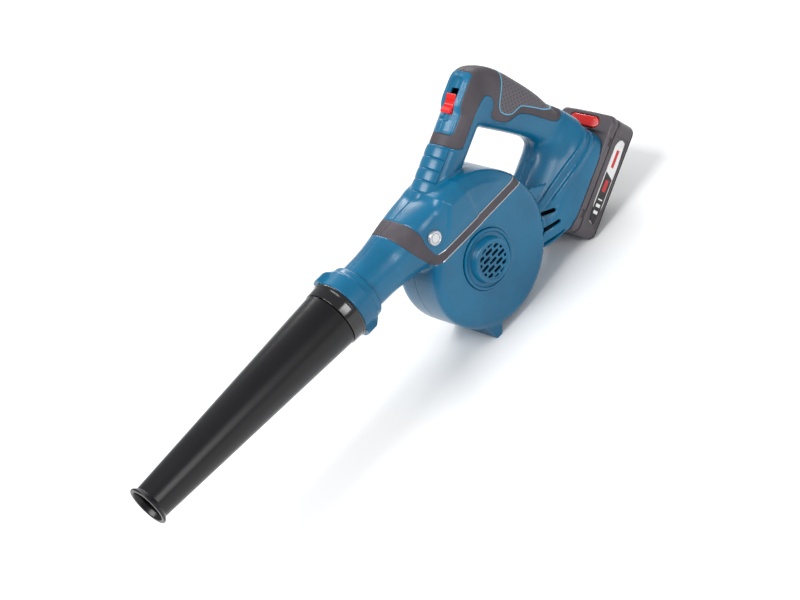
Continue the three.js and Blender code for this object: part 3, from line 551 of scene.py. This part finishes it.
def printed(tree, place):
    """The pack's printed label, laid out along u and w: a pale pointed plate with a red bar at the upper end,
    and a dark plate with a pale outline and a red bar below it. No lettering."""
    x, y, z = xyz(tree, place)
    u, w = x * COS + z * SIN, z * COS - x * SIN
    rise = w - LABEL_MIDDLE
    upper = (u - 124.0 - rise * 0.5).ramp(-0.3, 0.3)
    bar = ((1.0 - ((u - 141.0).size() - 9.0).ramp(-0.2, 0.2))
           * (1.0 - ((rise - 0.4).size() - 1.9).ramp(-0.2, 0.2)))
    small = (1.0 - ((u - 113.0).size() - 6.0).ramp(-0.2, 0.2)) * (1.0 - (rise.size() - 2.4).ramp(-0.2, 0.2))
    blocks = 1.0 - ((u - 90.0).size() - 9.5).ramp(-0.2, 0.2)
    stripes = (((u * (2 * math.pi / 7.0)).wave() - 0.1).ramp(-0.1, 0.1)
               * (1.0 - (rise.size() - 3.0).ramp(-0.2, 0.2)))
    edge = (rise.size() - 5.6).ramp(-0.2, 0.2).most(1.0 - (u - 74.6 - rise * 0.5).ramp(-0.3, 0.3))
    pale, red_ink, black_ink = rgb(228, 228, 226), rgb(196, 30, 34), rgb(26, 25, 28)
    low = mixed(tree, edge.most(blocks * stripes), mixed(tree, small, black_ink, red_ink), pale)
    return {"Base Color": mixed(tree, upper, low, mixed(tree, bar, pale, red_ink)),
            "Roughness": 0.34 + noise(tree, place, 400, 3) * 0.08}


BLUE, BLUE_LOW = rgb(0, 102, 140), rgb(0, 90, 126)
blue = plastic("blue_housing", BLUE, BLUE_LOW, 0.32, 0.012, 0.2)
SOFT, SOFT_LOW = rgb(76, 70, 76), rgb(60, 55, 61)
soft = material("soft_cover", SOFT, 0.55, soft_grain(SOFT, SOFT_LOW))
soft_dots = material("soft_cover_dots", SOFT, 0.5, dotted)
# A real narrow blue line, coloured a pale blue that paints the highlight it catches
line_blue_painted_highlight = plastic("blue_line_painted_highlight", rgb(104, 184, 220), rgb(90, 168, 206), 0.3)
SILVER = rgb(206, 209, 213)
silver = material("silver_line", SILVER, 0.28, moulded(SILVER, rgb(192, 195, 200), 0.003, 0.26), Metallic=0.6)
BADGE = (-38.0, 60.5)                     # the x and z of its middle
badge = material("badge_face", rgb(214, 216, 218), 0.3, face_of_badge)
black = plastic("black_nozzle", rgb(17, 16, 19), rgb(12, 11, 14), 0.3, 0.008, 0.0)
glossy = plastic("black_ring", rgb(16, 15, 18), rgb(12, 11, 14), 0.14, 0.002, 0.6)
grating = plastic("black_grille", rgb(27, 27, 30), rgb(21, 21, 24), 0.42, 0.015)
red = plastic("red_plastic", rgb(214, 22, 18), rgb(196, 16, 14), 0.27, 0.004, 0.35)
grey = plastic("battery_grey", rgb(88, 82, 87), rgb(74, 69, 74), 0.4, 0.02, 0.1)
pack_black = plastic("battery_base_black", rgb(38, 36, 40), rgb(30, 28, 32), 0.42, 0.02)
dark = plastic("inner_black", rgb(34, 34, 37), rgb(27, 27, 30), 0.48, 0.02)
LABEL_MIDDLE = -111.5                     # the w of the labels' long middle line
label = material("printed_label", rgb(30, 29, 32), 0.36, printed)
brass = metal("turned_brass", rgb(214, 180, 104), rgb(196, 160, 88), 0.24)
steel = metal("bright_steel", rgb(186, 188, 192), rgb(160, 162, 168), 0.26, 1)
copper = metal("copper", rgb(206, 128, 84), rgb(184, 108, 68), 0.28, 1)
ferrite = plastic("sintered_magnet", rgb(60, 60, 63), rgb(48, 48, 52), 0.6, 0.04)
aluminium = metal("extruded_aluminium", rgb(190, 193, 198), rgb(172, 175, 180), 0.34)
board = plastic("green_board", rgb(24, 92, 52), rgb(18, 78, 44), 0.3, 0.004, 0.3)
sleeve = plastic("cell_sleeve", rgb(28, 116, 78), rgb(22, 100, 66), 0.25, 0.002, 0.3)
red_wire = plastic("red_insulation", rgb(190, 24, 22), rgb(170, 18, 18), 0.4)
black_wire = plastic("black_insulation", rgb(26, 26, 28), rgb(20, 20, 22), 0.4)


# ------------------------------------------------------------------ regions of the housing's surface
def parting(x, y, z):
    """The plane where the two housing halves meet."""
    return y


GRIP_COVER = rounded_off([
    (79, 125), (79, 64.2), (94, 64.5), (114, 65.2), (136.5, 65.4), (140, 58), (138, 51.5), (131.8, 47.6),
    (123.5, 47), (121.5, 40), (123.4, 29.6), (126.4, 22.6), (134.7, 17.5), (139.7, 12.9), (143.6, -2),
    (147.9, -34.4), (153.3, -40), (176, -46), (180, 20), (180, 125)])
TEXTURE = rounded_off([
    (186, 56), (159.8, 49.3), (132, 41.5), (131, 31), (134, 23), (143.5, 17.6), (147, 14.7), (157.4, -31.4),
    (186, -44)])
PANEL_FRONT, PANEL_BACK, PANEL_HALF = 92, 150, 12


def panel(x, y, z):
    """The flat switch panel: a rounded rectangle in u and y on the shaft's outer side."""
    u, w = tilted(x, z)
    flat = round_corner(np.abs(u - (PANEL_FRONT + PANEL_BACK) / 2) - (PANEL_BACK - PANEL_FRONT) / 2,
                        np.abs(y) - PANEL_HALF, 3)
    return np.maximum(flat, SHAFT_W - w)


def cover(x, y, z):
    """The soft grip cover: an outline in u and w, less the switch panel and a border round it."""
    u, w = tilted(x, z)
    return np.maximum(outline_distance(u, w, GRIP_COVER), 1.4 - panel(x, y, z))


def texture(x, y, z):
    """The dotted part of the grip cover: an outline in u and w."""
    u, w = tilted(x, z)
    return outline_distance(u, w, TEXTURE)


BAND = rounded_off([(-71, 100), (-68, 76), (-62, 58), (-55, 44), (-50, 33.7), (-41, 33.7), (-46, 50),
                    (-49, 60), (-47, 70), (-50, 84), (-52, 100)])
STRIPE_LOW, STRIPE_HIGH = 34.2, 43.2      # the stripe's two edges
STRIPE = np.array([(-48.5, STRIPE_LOW), (70, STRIPE_LOW), (70, STRIPE_HIGH), (-44, STRIPE_HIGH)])


def band(x, y, z):
    """The soft band that runs round the duct."""
    return outline_distance(x, z, BAND)


def stripe(x, y, z):
    """The soft stripe across each side of the drum, which stops short of the parting plane."""
    return np.maximum(outline_distance(x, z, STRIPE), np.where(np.abs(y) < 3, 9.0, -9.0))


def trim(x, y, z):
    """The band and the stripe together."""
    return np.minimum(band(x, y, z), stripe(x, y, z))


def circle(cx, cz, radius):
    """A round region about a line across the housing."""
    return lambda x, y, z: np.hypot(x - cx, z - cz) - radius


# ------------------------------------------------------------------ the housing, its covers and its lines
skin = surface_of(housing_field, (-134, -44, -BASE - 5), (186, 44, 160), STEP)


def upper_window(x, y, z):
    """The chamfer shows on the near side only, and fades towards the stripe and towards the duct."""
    return step(-y, 16, 24) * step(z, 43.4, 58) * step(x, -52, -30)


def upper_face(x, y, z):
    """Distance inside the drum's outline, for the chamfer that rises from its rim above the stripe."""
    return scroll(x, z) + 6.5


skin = skin.shaped(upper_face, [(-5.2, 2.1), (-4.4, 1.9), (-0.6, 0.1), (0, 0)], upper_window)
RIDGES = [([50, 80, 110, 140, 162], [-53.5, -60, -67.2, -74.5, -78.5]),
          ([50, 80, 110, 140, 162], [-46.5, -52, -58.6, -65.5, -69])]


def ridge(number):
    """How far above the curved line of a ridge on the rear body a point is, square to the slide."""
    def rise(x, y, z):
        u, w = tilted(x, z)
        return np.clip(w - along(u, *RIDGES[number]), -9, 9) + 20 * np.maximum(60 - u, 0)
    return rise


def ridge_window(x, y, z):
    """Ridges swell out of the near side behind the fan and fade towards the back edge."""
    u, w = tilted(x, z)
    return step(-y, 12, 18) * step(u, 64, 84) * (1 - step(u, 150, 159))


for number in (0, 1):
    skin = skin.shaped(ridge(number), [(-5.2, 0), (-3.0, 0.7), (-0.7, 2.0), (0.3, 1.9), (1.6, 0)],
                       ridge_window)
VENT_R = 29.9                             # the openings in the drum's two faces
skin = skin.shaped(circle(0, 0, VENT_R), [(0.3, -0.4), (0.9, 0.6), (2.0, 0.6), (2.8, 0)],
                   lambda x, y, z: step(np.abs(y), 20, 26))
skin = skin.shaped(cover, [(-0.9, 0), (-0.1, -0.45), (0.5, 0.25), (1.5, 0.3), (2.3, 0)])
skin = skin.shaped(panel, [(-0.6, 0), (0, -0.3), (0.6, 0)])
skin = skin.shaped(trim, [(-0.8, 0), (0, -0.4), (0.8, 0)])
skin = skin.shaped(parting, [(-0.7, 0), (0, -0.3), (0.7, 0)])


def slot_floor(x, y, z):
    """The sunken track of the switch: a long rounded slot in the panel."""
    u, w = tilted(x, z)
    return np.maximum(round_corner(np.abs(u - 124) - 22, np.abs(y) - 7.4, 5), SHAFT_W - w)


skin = skin.shaped(slot_floor, [(-1.6, -2.2), (0.2, 0.15), (0.9, 0.15), (1.6, 0)])


def slot_hole(x, y, z):
    """The hole in the track that the slider's stem runs in."""
    u, w = tilted(x, z)
    return np.maximum(np.maximum(np.abs(u - 123.2) - 11.6, np.abs(y) - 5), SHAFT_W - w)


VENTS = [((74.9, -16.5), (92.7, -20.8)), ((68.9, -30.1), (90.4, -32.2)), ((61.3, -42.6), (89.6, -44.9))]


def vents(x, y, z):
    """Three long slots with round ends: the least distance to three lines, less a half width."""
    best = 99.0
    for (ax, az), (bx, bz) in VENTS:
        dx, dz = bx - ax, bz - az
        t = np.clip(((x - ax) * dx + (z - az) * dz) / (dx * dx + dz * dz), 0, 1)
        best = np.minimum(best, np.hypot(x - ax - t * dx, z - az - t * dz) - 1.9)
    return best


def dock_mouth(x, y, z):
    """The opening in the rear body that the battery's contact tower slides into."""
    u, w = tilted(x, z)
    return np.maximum(np.maximum(np.abs(y) - 27, 64 - u), np.maximum(u - 200, w + 89.5))


GRIP_LINE, TRIM_LINE = 0.45, 0.42         # half widths of the narrow lines


def grip_line(x, y, z):
    """A narrow line along the edge of the dotted part of the grip cover."""
    return np.maximum(np.abs(texture(x, y, z)) - GRIP_LINE, cover(x, y, z) + 1.3)


def trim_lines(x, y, z):
    """Two narrow lines along the edges of the stripe, from the badge round to the rim's middle."""
    lines = np.minimum(np.abs(z - STRIPE_HIGH), np.abs(z - STRIPE_LOW)) - TRIM_LINE
    return np.maximum(np.maximum(lines, -42.5 - x), np.maximum(3.2 - np.abs(y), trim(x, y, z) - 0.6))


skin = skin.scored(lambda x, y, z: texture(x, y, z) + 9 * np.maximum(cover(x, y, z) - 1, 0), -GRIP_LINE,
                   GRIP_LINE)
for edge in (STRIPE_LOW, STRIPE_HIGH):
    skin = skin.scored(lambda x, y, z: z - edge + 9 * np.maximum(trim(x, y, z) - 2, 0), -TRIM_LINE, TRIM_LINE)
SCREWS = [np.array(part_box(f"screw_{i}")) for i in range(1, 7)]
SCREW_AT = [((s.mean(0)[0] - FAN[0]) / MM, (s.mean(0)[2] - FAN[2]) / MM) for s in SCREWS]
skin = skin.shaped(vents, [(0.05, -0.5), (0.9, 0)])
for name, side in (("left", 1), ("right", -1)):      # left is the near side
    half = skin.kept(lambda x, y, z: side * y + 0.02)
    shell = half.without(cover).without(panel).without(trim).without(vents).without(dock_mouth)
    shell = shell.without(lambda x, y, z: np.maximum(np.hypot(x, z) - VENT_R, 20 - np.abs(y)))
    if side < 0:
        for sx, sz in SCREW_AT:
            shell = shell.without(circle(sx, sz, 3.7))
    mesh_piece(f"housing_{name}_shell", *shell.walled(WALL), blue, "housing", f"housing_{name}", "housing")
    grip = half.kept(cover)
    mesh_piece(f"grip_cover_{name}_skin", *grip.without(texture).walled(COVER_WALL), soft, "housing",
               f"grip_cover_{name}", "soft_cover")
    mesh_piece(f"grip_dots_{name}_skin", *grip.kept(texture).walled(COVER_WALL), soft_dots, "housing",
               slot="soft_cover")
    # The line round the dotted part is real; its pale blue colour is a painted highlight
    mesh_piece(f"grip_line_{name}", *half.kept(grip_line).lifted(0.25).walled(LINE_WALL), line_blue_painted_highlight,
               "housing")
    mesh_piece(f"trim_lines_{name}", *half.kept(trim_lines).lifted(0.45).walled(LINE_WALL), silver, "housing")
    mesh_piece(f"trim_band_{name}_skin", *half.kept(trim).walled(COVER_WALL), soft, "housing",
               f"trim_band_{name}", "soft_cover")
mesh_piece("switch_panel", *skin.kept(panel).without(slot_hole).walled(COVER_WALL), blue, "housing",
           "switch_bezel", "housing")


# ----------------------------------------------------------------- pad on the handle, nozzle, ring and collar
PAD_FRONT, PAD_BACK, PAD_SEGMENTS = 21, 78.4, 5
PAD_SIDE = math.radians(54)               # how far the pad reaches round the shaft each way
PAD_INNER = SHAFT_R - 1.4                 # its hidden side lies in the shaft's wall


def handle_pad():
    """The ribbed pad wraps the shaft's outer side: at each place along u a band from one side edge to the
    other, out by a dome per segment and a low lip at the edges, and back along the shaft's wall."""
    t = np.linspace(0, 1, PAD_SEGMENTS * 22 + 1)
    local = t * PAD_SEGMENTS % 1
    dome = 0.1 + 1.1 * np.clip(4 * local * (1 - local), 0, 1) ** 0.25
    side = np.linspace(-1, 1, 41)
    lip = np.clip((1 - np.abs(side)) / 0.05, 0, 1) ** 0.5
    angle = side * PAD_SIDE
    r = SHAFT_R - 0.4 + lip * (0.4 + dome[:, None])
    outer = np.stack([np.broadcast_to(PAD_FRONT + t[:, None] * (PAD_BACK - PAD_FRONT), r.shape),
                      r * np.sin(angle), SHAFT_W + r * np.cos(angle)], -1)
    inner = outer.copy()
    inner[..., 1:] = np.stack([PAD_INNER * np.sin(angle), SHAFT_W + PAD_INNER * np.cos(angle)], -1)
    return capped(level(np.concatenate([outer, inner[:, ::-1]], 1)))


mesh_piece("handle_pad", *handle_pad(), blue, "housing", slot="housing")

NOZZLE_Z = np.array([0, 0, 56.0])         # from the fan's axis to the nozzle's
tube, faces = lathe(eased([(-128.8, 25.8), (-154.6, 25.8), (-154.6, 28.8), (-390, 17.4), (-393.2, 20.5),
                           (-395, 20.5), (-395, 16.9), (-390, 15.4), (-162.3, 26.6), (-158, 23.8),
                           (-128.8, 23.8)], 0.8), 192)
mesh_piece("nozzle_tube_turned", tube + NOZZLE_Z, faces, black, "nozzle", "nozzle_tube", "nozzle")
ring, faces = lathe(eased([(-140.2, 26.1), (-140.2, 30.4), (-141, 31), (-143.5, 31), (-144.1, 30.3),
                           (-154.3, 29.7), (-154.3, 26.1)], 0.5), 192)
mesh_piece("nozzle_ring_turned", ring + NOZZLE_Z, faces, glossy, "nozzle", "nozzle_ring", "nozzle")


LUGS = (-35, 145)                         # degrees round the nozzle from the top towards the near side


def collar():
    """A turned collar whose radius grows by a height over two sectors: the height is looked up from how far
    the angle is from a lug's middle, and fades towards the housing."""
    profile = divided(eased([(-139.7, 26.4), (-139.7, 30), (-122.8, 30), (-121.6, 29), (-116, 28.2),
                             (-114.6, 26.8), (-114.6, 24.4), (-128.4, 24.4), (-128.4, 26.4)], 0.7), 1.2)
    points, faces = lathe(profile, 288)
    x, y, z = np.moveaxis(points, -1, 0)
    r, angle = np.hypot(y, z), np.degrees(np.arctan2(-y, z))
    off = np.min([np.abs((angle - middle + 180) % 360 - 180) for middle in LUGS], axis=0)
    rise = 4.6 * np.interp(off, [11.5, 12.5, 15.5, 16.5], [1, 0.94, 0.06, 0]) * (r > 28.5) * np.interp(
        x, [-139.7, -138.6, -129, -122.5], [0.8, 1, 1, 0])
    return np.stack([x, y * (1 + rise / r), z * (1 + rise / r)], -1) + NOZZLE_Z, faces


mesh_piece("outlet_collar_turned", *collar(), blue, "housing", "outlet_collar", "housing")


# ------------------------------------------------------------------ vent cap, intake grille and badge
def dished(profile, side, slots, count=144):
    """Rings about the fan's axis, one for each (radius, height), and a middle point; slots are cut and a wall
    added."""
    p = np.asarray(profile, float)
    angle = np.linspace(0, 2 * math.pi, count, endpoint=False)
    rings = np.stack([p[:, 0, None] * np.cos(angle), np.broadcast_to(side * p[:, 1, None], (len(p), count)),
                      p[:, 0, None] * np.sin(angle)], -1)
    points = np.concatenate([rings.reshape(-1, 3), [[0, side * p[-1, 1], 0]]])
    quads, j = grid_faces(len(p), count), np.arange(count)
    fan = np.stack([(len(p) - 1) * count + j, (len(p) - 1) * count + (j + 1) % count, j * 0 + len(p) * count],
                   1)
    tris = np.concatenate([quads[:, [0, 1, 2]], quads[:, [0, 2, 3]], fan])
    rows = np.concatenate([points, np.broadcast_to([0, side, 0], points.shape)], 1)
    return Skin(rows, tris).without(slots).walled(1.8)


def slots_in(radius, pitch, half_height, half_length, bridge):
    """Rows of short round-ended slots, every other row shifted by half a slot and its bridge, inside a
    circle."""
    def region(x, y, z):
        row = np.round(z / pitch)
        span = 2 * half_length + bridge
        along_row = x + (row % 2) * span / 2
        slot = round_corner(np.abs(along_row - span * np.round(along_row / span)) - half_length,
                            np.abs(z - pitch * row) - half_height, 1.2)
        return np.maximum(slot, np.hypot(x, z) - radius)
    return region


flat = [(r, 42.4) for r in np.linspace(17.8, 0.8, 22)]
mesh_piece("motor_vent_cap_dished", *dished(
    [(29.8, 32.5), (29.8, 36.0), (29.5, 36.5), (29, 36.8), (27.7, 36.8), (27.2, 36.6), (26.6, 35.8),
     (26.2, 35.5), (23.4, 35.4), (22.8, 35.7), (22.5, 36.2), (21.6, 41.6), (21.2, 42.5), (20.4, 43),
     (18.5, 43), (18.1, 42.8)] + flat,
    -1, slots_in(16.6, 5.3, 1.65, 4.6, 2.4)), blue, "housing", "motor_vent_cap", "housing", 30)
flat = [(r, 42.2) for r in np.linspace(24.4, 0.8, 30)]
mesh_piece("intake_grille_dished", *dished(
    [(29.8, 30.5), (29.8, 34.2), (29.3, 34.9), (28.6, 35.2), (27.6, 35.3), (27.2, 35.8), (26.8, 41.4),
     (26.4, 42.3), (25.6, 42.8), (24.8, 42.6)] + flat, 1, slots_in(22.8, 5.3, 1.65, 5.2, 2.4)), grating,
     "housing", "intake_grille", "nozzle", 30)

disc = np.array([(-31.9, 7), (-34.8, 7), (-35.1, 6.8), (-35.2, 6.5), (-35.2, 6.0), (-35.1, 5.7), (-34.9, 5.6),
                 (-34.9, 3), (-34.9, 0.6)])
turn = np.linspace(0, 2 * math.pi, 64, endpoint=False)
mesh_piece("blank_badge_disc", *capped(np.stack([
    BADGE[0] + disc[:, 1, None] * np.cos(turn), np.broadcast_to(disc[:, 0, None], (len(disc), 64)),
    BADGE[1] + disc[:, 1, None] * np.sin(turn)], -1)), badge, "housing", "blank_badge", "badge")


# ----------------------------------------------------------------- switch and battery, laid out along u and w
def slab(u, y, w, u0, u1, half, w0, w1, corner, edge):
    """Distance to a slab whose outline is a rectangle with round corners and whose rims are rounded by
    edge."""
    flat = round_corner(np.abs(u - (u0 + u1) / 2) - (u1 - u0) / 2, np.abs(y) - half, corner)
    return round_corner(flat, np.abs(w - (w0 + w1) / 2) - (w1 - w0) / 2, edge)


def tilted_piece(name, field, low, high, pitch, *how):
    """A piece whose field is given in u, y and w, between two corners."""
    found = surface_of(field, low, high, pitch * (1.0))
    return mesh_piece(name, level(found.rows[:, :3]), found.tris, *how)


def slider(u, y, w):
    """A rounded block with a thumb hollow turned about a line across it, three grooves, and a stem below."""
    block = slab(u, y, w, 109.5, 128.5, 6.7, 79.8, 86.2, 2.0, 1.1)
    block = common(block, 15.4 - np.hypot(u - 119, w - 99.6), 0.9)
    for across in (115.6, 119, 122.4):
        block = common(block, 0.7 - np.hypot(u - across, w - 84.5), 0.3)
    return joined(block, slab(u, y, w, 113, 125, 4, 70, 81, 1, 0.6), 0.8)


tilted_piece("switch_slider_block", slider, (107, -7, 68), (131, 7, 87), 0.45, red, "switch", "switch_slider",
             "red_plastic")


def tray(u, y, w):
    """The pack's lower shell: a slab with a shallow hollow for each side's label."""
    shell = slab(u, y, w, 59, 178, 37.5, -124.9, -99.2, 9, 3)
    return common(shell, 0.9 - np.maximum(np.maximum(np.abs(u - 116.5) - 45, 36.6 - np.abs(y) + 0.9),
                                          np.abs(w + 111.5) - 7), 0.3)


def lid(u, y, w):
    """The pack's upper shell with a low dome at its back end and its contact tower: slots along the tower,
    pockets for the release strip and the gauge button, and a notch near each end of both long sides."""
    shell = slab(u, y, w, 59, 178, 37.5, -98.9, -91, 9, 2.8)
    tower = np.minimum(slab(u, y, w, 80, 158, 17.5, -92, -72, 1.5, 0.8),
                       slab(u, y, w, 80, 158, 22, -77, -71.5, 1.5, 0.8))
    dome = common(slab(u, y, w, 160, 178, 37.2, -98.9, -84, 8.5, 2.5), np.hypot(y, w + 240) - 152.4, 1.5)
    shell = np.minimum(joined(shell, dome, 2), tower)
    for row in (-12, 0, 12):
        shell = np.maximum(shell, -np.maximum(np.abs(y - row) - 1.3, np.maximum(u - 112, -88 - w)))
    shell = np.maximum(shell, -slab(u, y, w, 161.9, 174.1, 20.6, -96.4, -80, 5.9, 0.4))
    shell = np.maximum(shell, -slab(u, y, w, 50, 61.8, 9, -97.9, -92.1, 0.4, 0.2))
    for end in (79, 153):
        shell = np.maximum(shell, -slab(u, np.abs(y) - 38, w, end - 4, end + 4, 2.6, -97.5, -93.2, 0.8, 0.3))
    return shell


def base_strip(u, y, w):
    """The pack's lowest few millimetres, with rounder rims."""
    return np.maximum(slab(u, y, w, 59, 178, 37.5, -125, -99, 9, 4.2), w + 121.7)


low, high = (57, -40, -127), (180, 40, -97)
tilted_piece("battery_tray_shell", lambda u, y, w: np.maximum(tray(u, y, w), -121.2 - w), low, high, 1.0,
             grey, "battery", "battery_tray", "pack_shell")
tilted_piece("battery_base_strip", base_strip, low, high, 1.0, pack_black, "battery", None, "pack_shell")
tilted_piece("battery_lid_shell", lid, (57, -40, -101), (180, 40, -69), 1.0, grey, "battery", "battery_lid",
             "pack_shell")
tilted_piece("battery_inner_dark", lambda u, y, w: slab(u, y, w, 61.5, 175.5, 35, -123, -97.7, 7, 2),
             (57, -40, -127), (180, 40, -94), 1.6, pack_black, "battery", None, "pack_shell")
tilted_piece("release_strip", lambda u, y, w: common(slab(u, y, w, 162.5, 173.5, 20, -92.8, -86.8, 5.4, 1.6),
                                                     np.hypot(y, w + 151) - 64.6, 1),
             (160, -22, -98), (176, 22, -85), 0.6, red, "release", "release_button", "red_plastic")


def label_plate(side):
    """A thin plate on the pack's side: a rectangle in u and w with a pointed upper end and a slanted lower
    end."""
    outline = divided(rounded_off([(72, -118), (158, -118), (161.5, -110), (154, -105), (148, -105),
                                   (77, -105)], 1), 3)
    heights = np.array([36.2, 37.15, 37.3])[:, None]
    inset = np.array([0.0, 0.0, 0.25])[:, None]
    middle = outline.mean(0)
    away = (middle - outline) / np.linalg.norm(middle - outline, axis=1)[:, None]
    u, w = outline[:, 0] + inset * away[:, 0], outline[:, 1] + inset * away[:, 1]
    return capped(level(np.stack([u, side * np.broadcast_to(heights, u.shape), w], -1)))


mesh_piece("pack_label_near", *label_plate(-1), label, "battery", "pack_label_right", "badge")
mesh_piece("pack_label_far", *label_plate(1), label, "battery", "pack_label_left", "badge")


# ------------------------------------------------------------------ screws with a six-point recess
def screw_head(place):
    """A domed head in rings from the rim to the recess; the recess's radius waves six times round."""
    x, y, z = (place - FAN) / MM
    turn = np.linspace(0, 2 * math.pi, 72, endpoint=False)
    star = 1.0 + 0.16 * np.cos(6 * turn)
    steps = [(3.1, -1.5, 0), (3.1, -0.4, 0), (2.9, 0, 0), (2.3, 0.3, 0), (1.75, 0.4, 1), (1.6, 0.3, 1),
             (1.5, -1.1, 1), (0.3, -1.3, 1)]
    rings = [np.stack([x + r * np.where(wavy, star, 1) * np.cos(turn), turn * 0 + y + rise,
                       z + r * np.where(wavy, star, 1) * np.sin(turn)], -1) for r, rise, wavy in steps]
    return capped(rings)


for i, box in enumerate(SCREWS, 1):
    head = (box[0] + box[1]) / 2
    head[1] = box[1, 1] - 0.4 * MM
    mesh_piece(f"screw_head_{i}", *screw_head(head), steel, "housing", slot="steel")


# ------------------------------------------------------------------ materials of the pieces inside
INSIDE = {
    brass: "fan_nut terminal_positive terminal_negative terminal_signal",
    steel: "motor_shaft rotor_core bearing_rear bearing_front motor_can "
           + " ".join(f"screw_{i}" for i in range(1, 7)),
    copper: "commutator", ferrite: "magnet_front magnet_rear", aluminium: "heat_sink",
    board: "control_board battery_board", sleeve: " ".join(f"cell_{i}" for i in range(1, 6)),
    red: "gauge_button", red_wire: "battery_lead_positive switch_lead_positive",
    black_wire: "battery_lead_negative switch_lead_negative",
}
finish_of = {name: finish for finish, names in INSIDE.items() for name in names.split()}
for name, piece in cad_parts.items():
    piece.data.materials.clear()
    piece.data.materials.append(finish_of.get(name, dark))


# ------------------------------------------------------------------ stage, lights and camera
def sky():
    """An even, nearly white surrounding light."""
    world = bpy.data.worlds.new("studio")
    bpy.context.scene.world = world
    world.use_nodes = True
    world.node_tree.nodes["Background"].inputs[0].default_value = (0.96, 0.98, 1.0, 1)
    world.node_tree.nodes["Background"].inputs[1].default_value = 0.5


def lamp(name, place, size, power, target=(0.02, 0, 0.12)):
    """A rectangular soft light at a place, turned towards the target."""
    light = bpy.data.lights.new(name, "AREA")
    light.shape, light.size, light.size_y, light.energy = "RECTANGLE", size[0], size[1], power
    lamp_object = bpy.data.objects.new(name, light)
    bpy.context.scene.collection.objects.link(lamp_object)
    back = np.array(place, float) - np.array(target, float)
    back /= np.linalg.norm(back)
    right = np.cross((0, 0, 1), back)
    right /= np.linalg.norm(right)
    pose = np.eye(4)
    pose[:3, 0], pose[:3, 1], pose[:3, 2], pose[:3, 3] = right, np.cross(back, right), back, place
    lamp_object.matrix_world = Matrix(pose.tolist())


bpy.context.scene.view_settings.view_transform = "Standard"
sky()
lamp("key_light", (-0.8, 0.0, 1.7), (1.1, 0.9), 30)
lamp("rim_light", (1.0, 0.9, 0.9), (1.0, 0.3), 11)
lamp("side_light", (0.2, -1.7, 0.9), (0.25, 0.9), 7)

floor_mesh = bpy.data.meshes.new("floor")
reach = 6.0
floor_mesh.from_pydata([(-reach, -reach, 0), (reach, -reach, 0), (reach, reach, 0), (-reach, reach, 0)], [],
                       [(0, 1, 2, 3)])
floor_mesh.materials.append(material("pale_floor", (0.93, 0.93, 0.93, 1), 0.75))
floor = bpy.data.objects.new("floor", floor_mesh)
bpy.context.scene.collection.objects.link(floor)

camera = bpy.data.cameras.new("camera")
camera.lens, camera.sensor_width = 94.5, 36
camera.clip_end = 20
camera_object = bpy.data.objects.new("camera", camera)
bpy.context.scene.collection.objects.link(camera_object)
right, up = np.array([0.644, -0.644, -0.414]), np.array([0.668, 0.208, 0.715])
right /= np.linalg.norm(right)
up = up - right * (up @ right)
up /= np.linalg.norm(up)
pose = np.eye(4)
pose[:3, 0], pose[:3, 1], pose[:3, 2] = right, up, np.cross(right, up)
pose[:3, 3] = np.array([-812.4, -1434.9, 1112.6]) * MM + FAN
camera_object.matrix_world = Matrix(pose.tolist())
bpy.context.scene.camera = camera_object
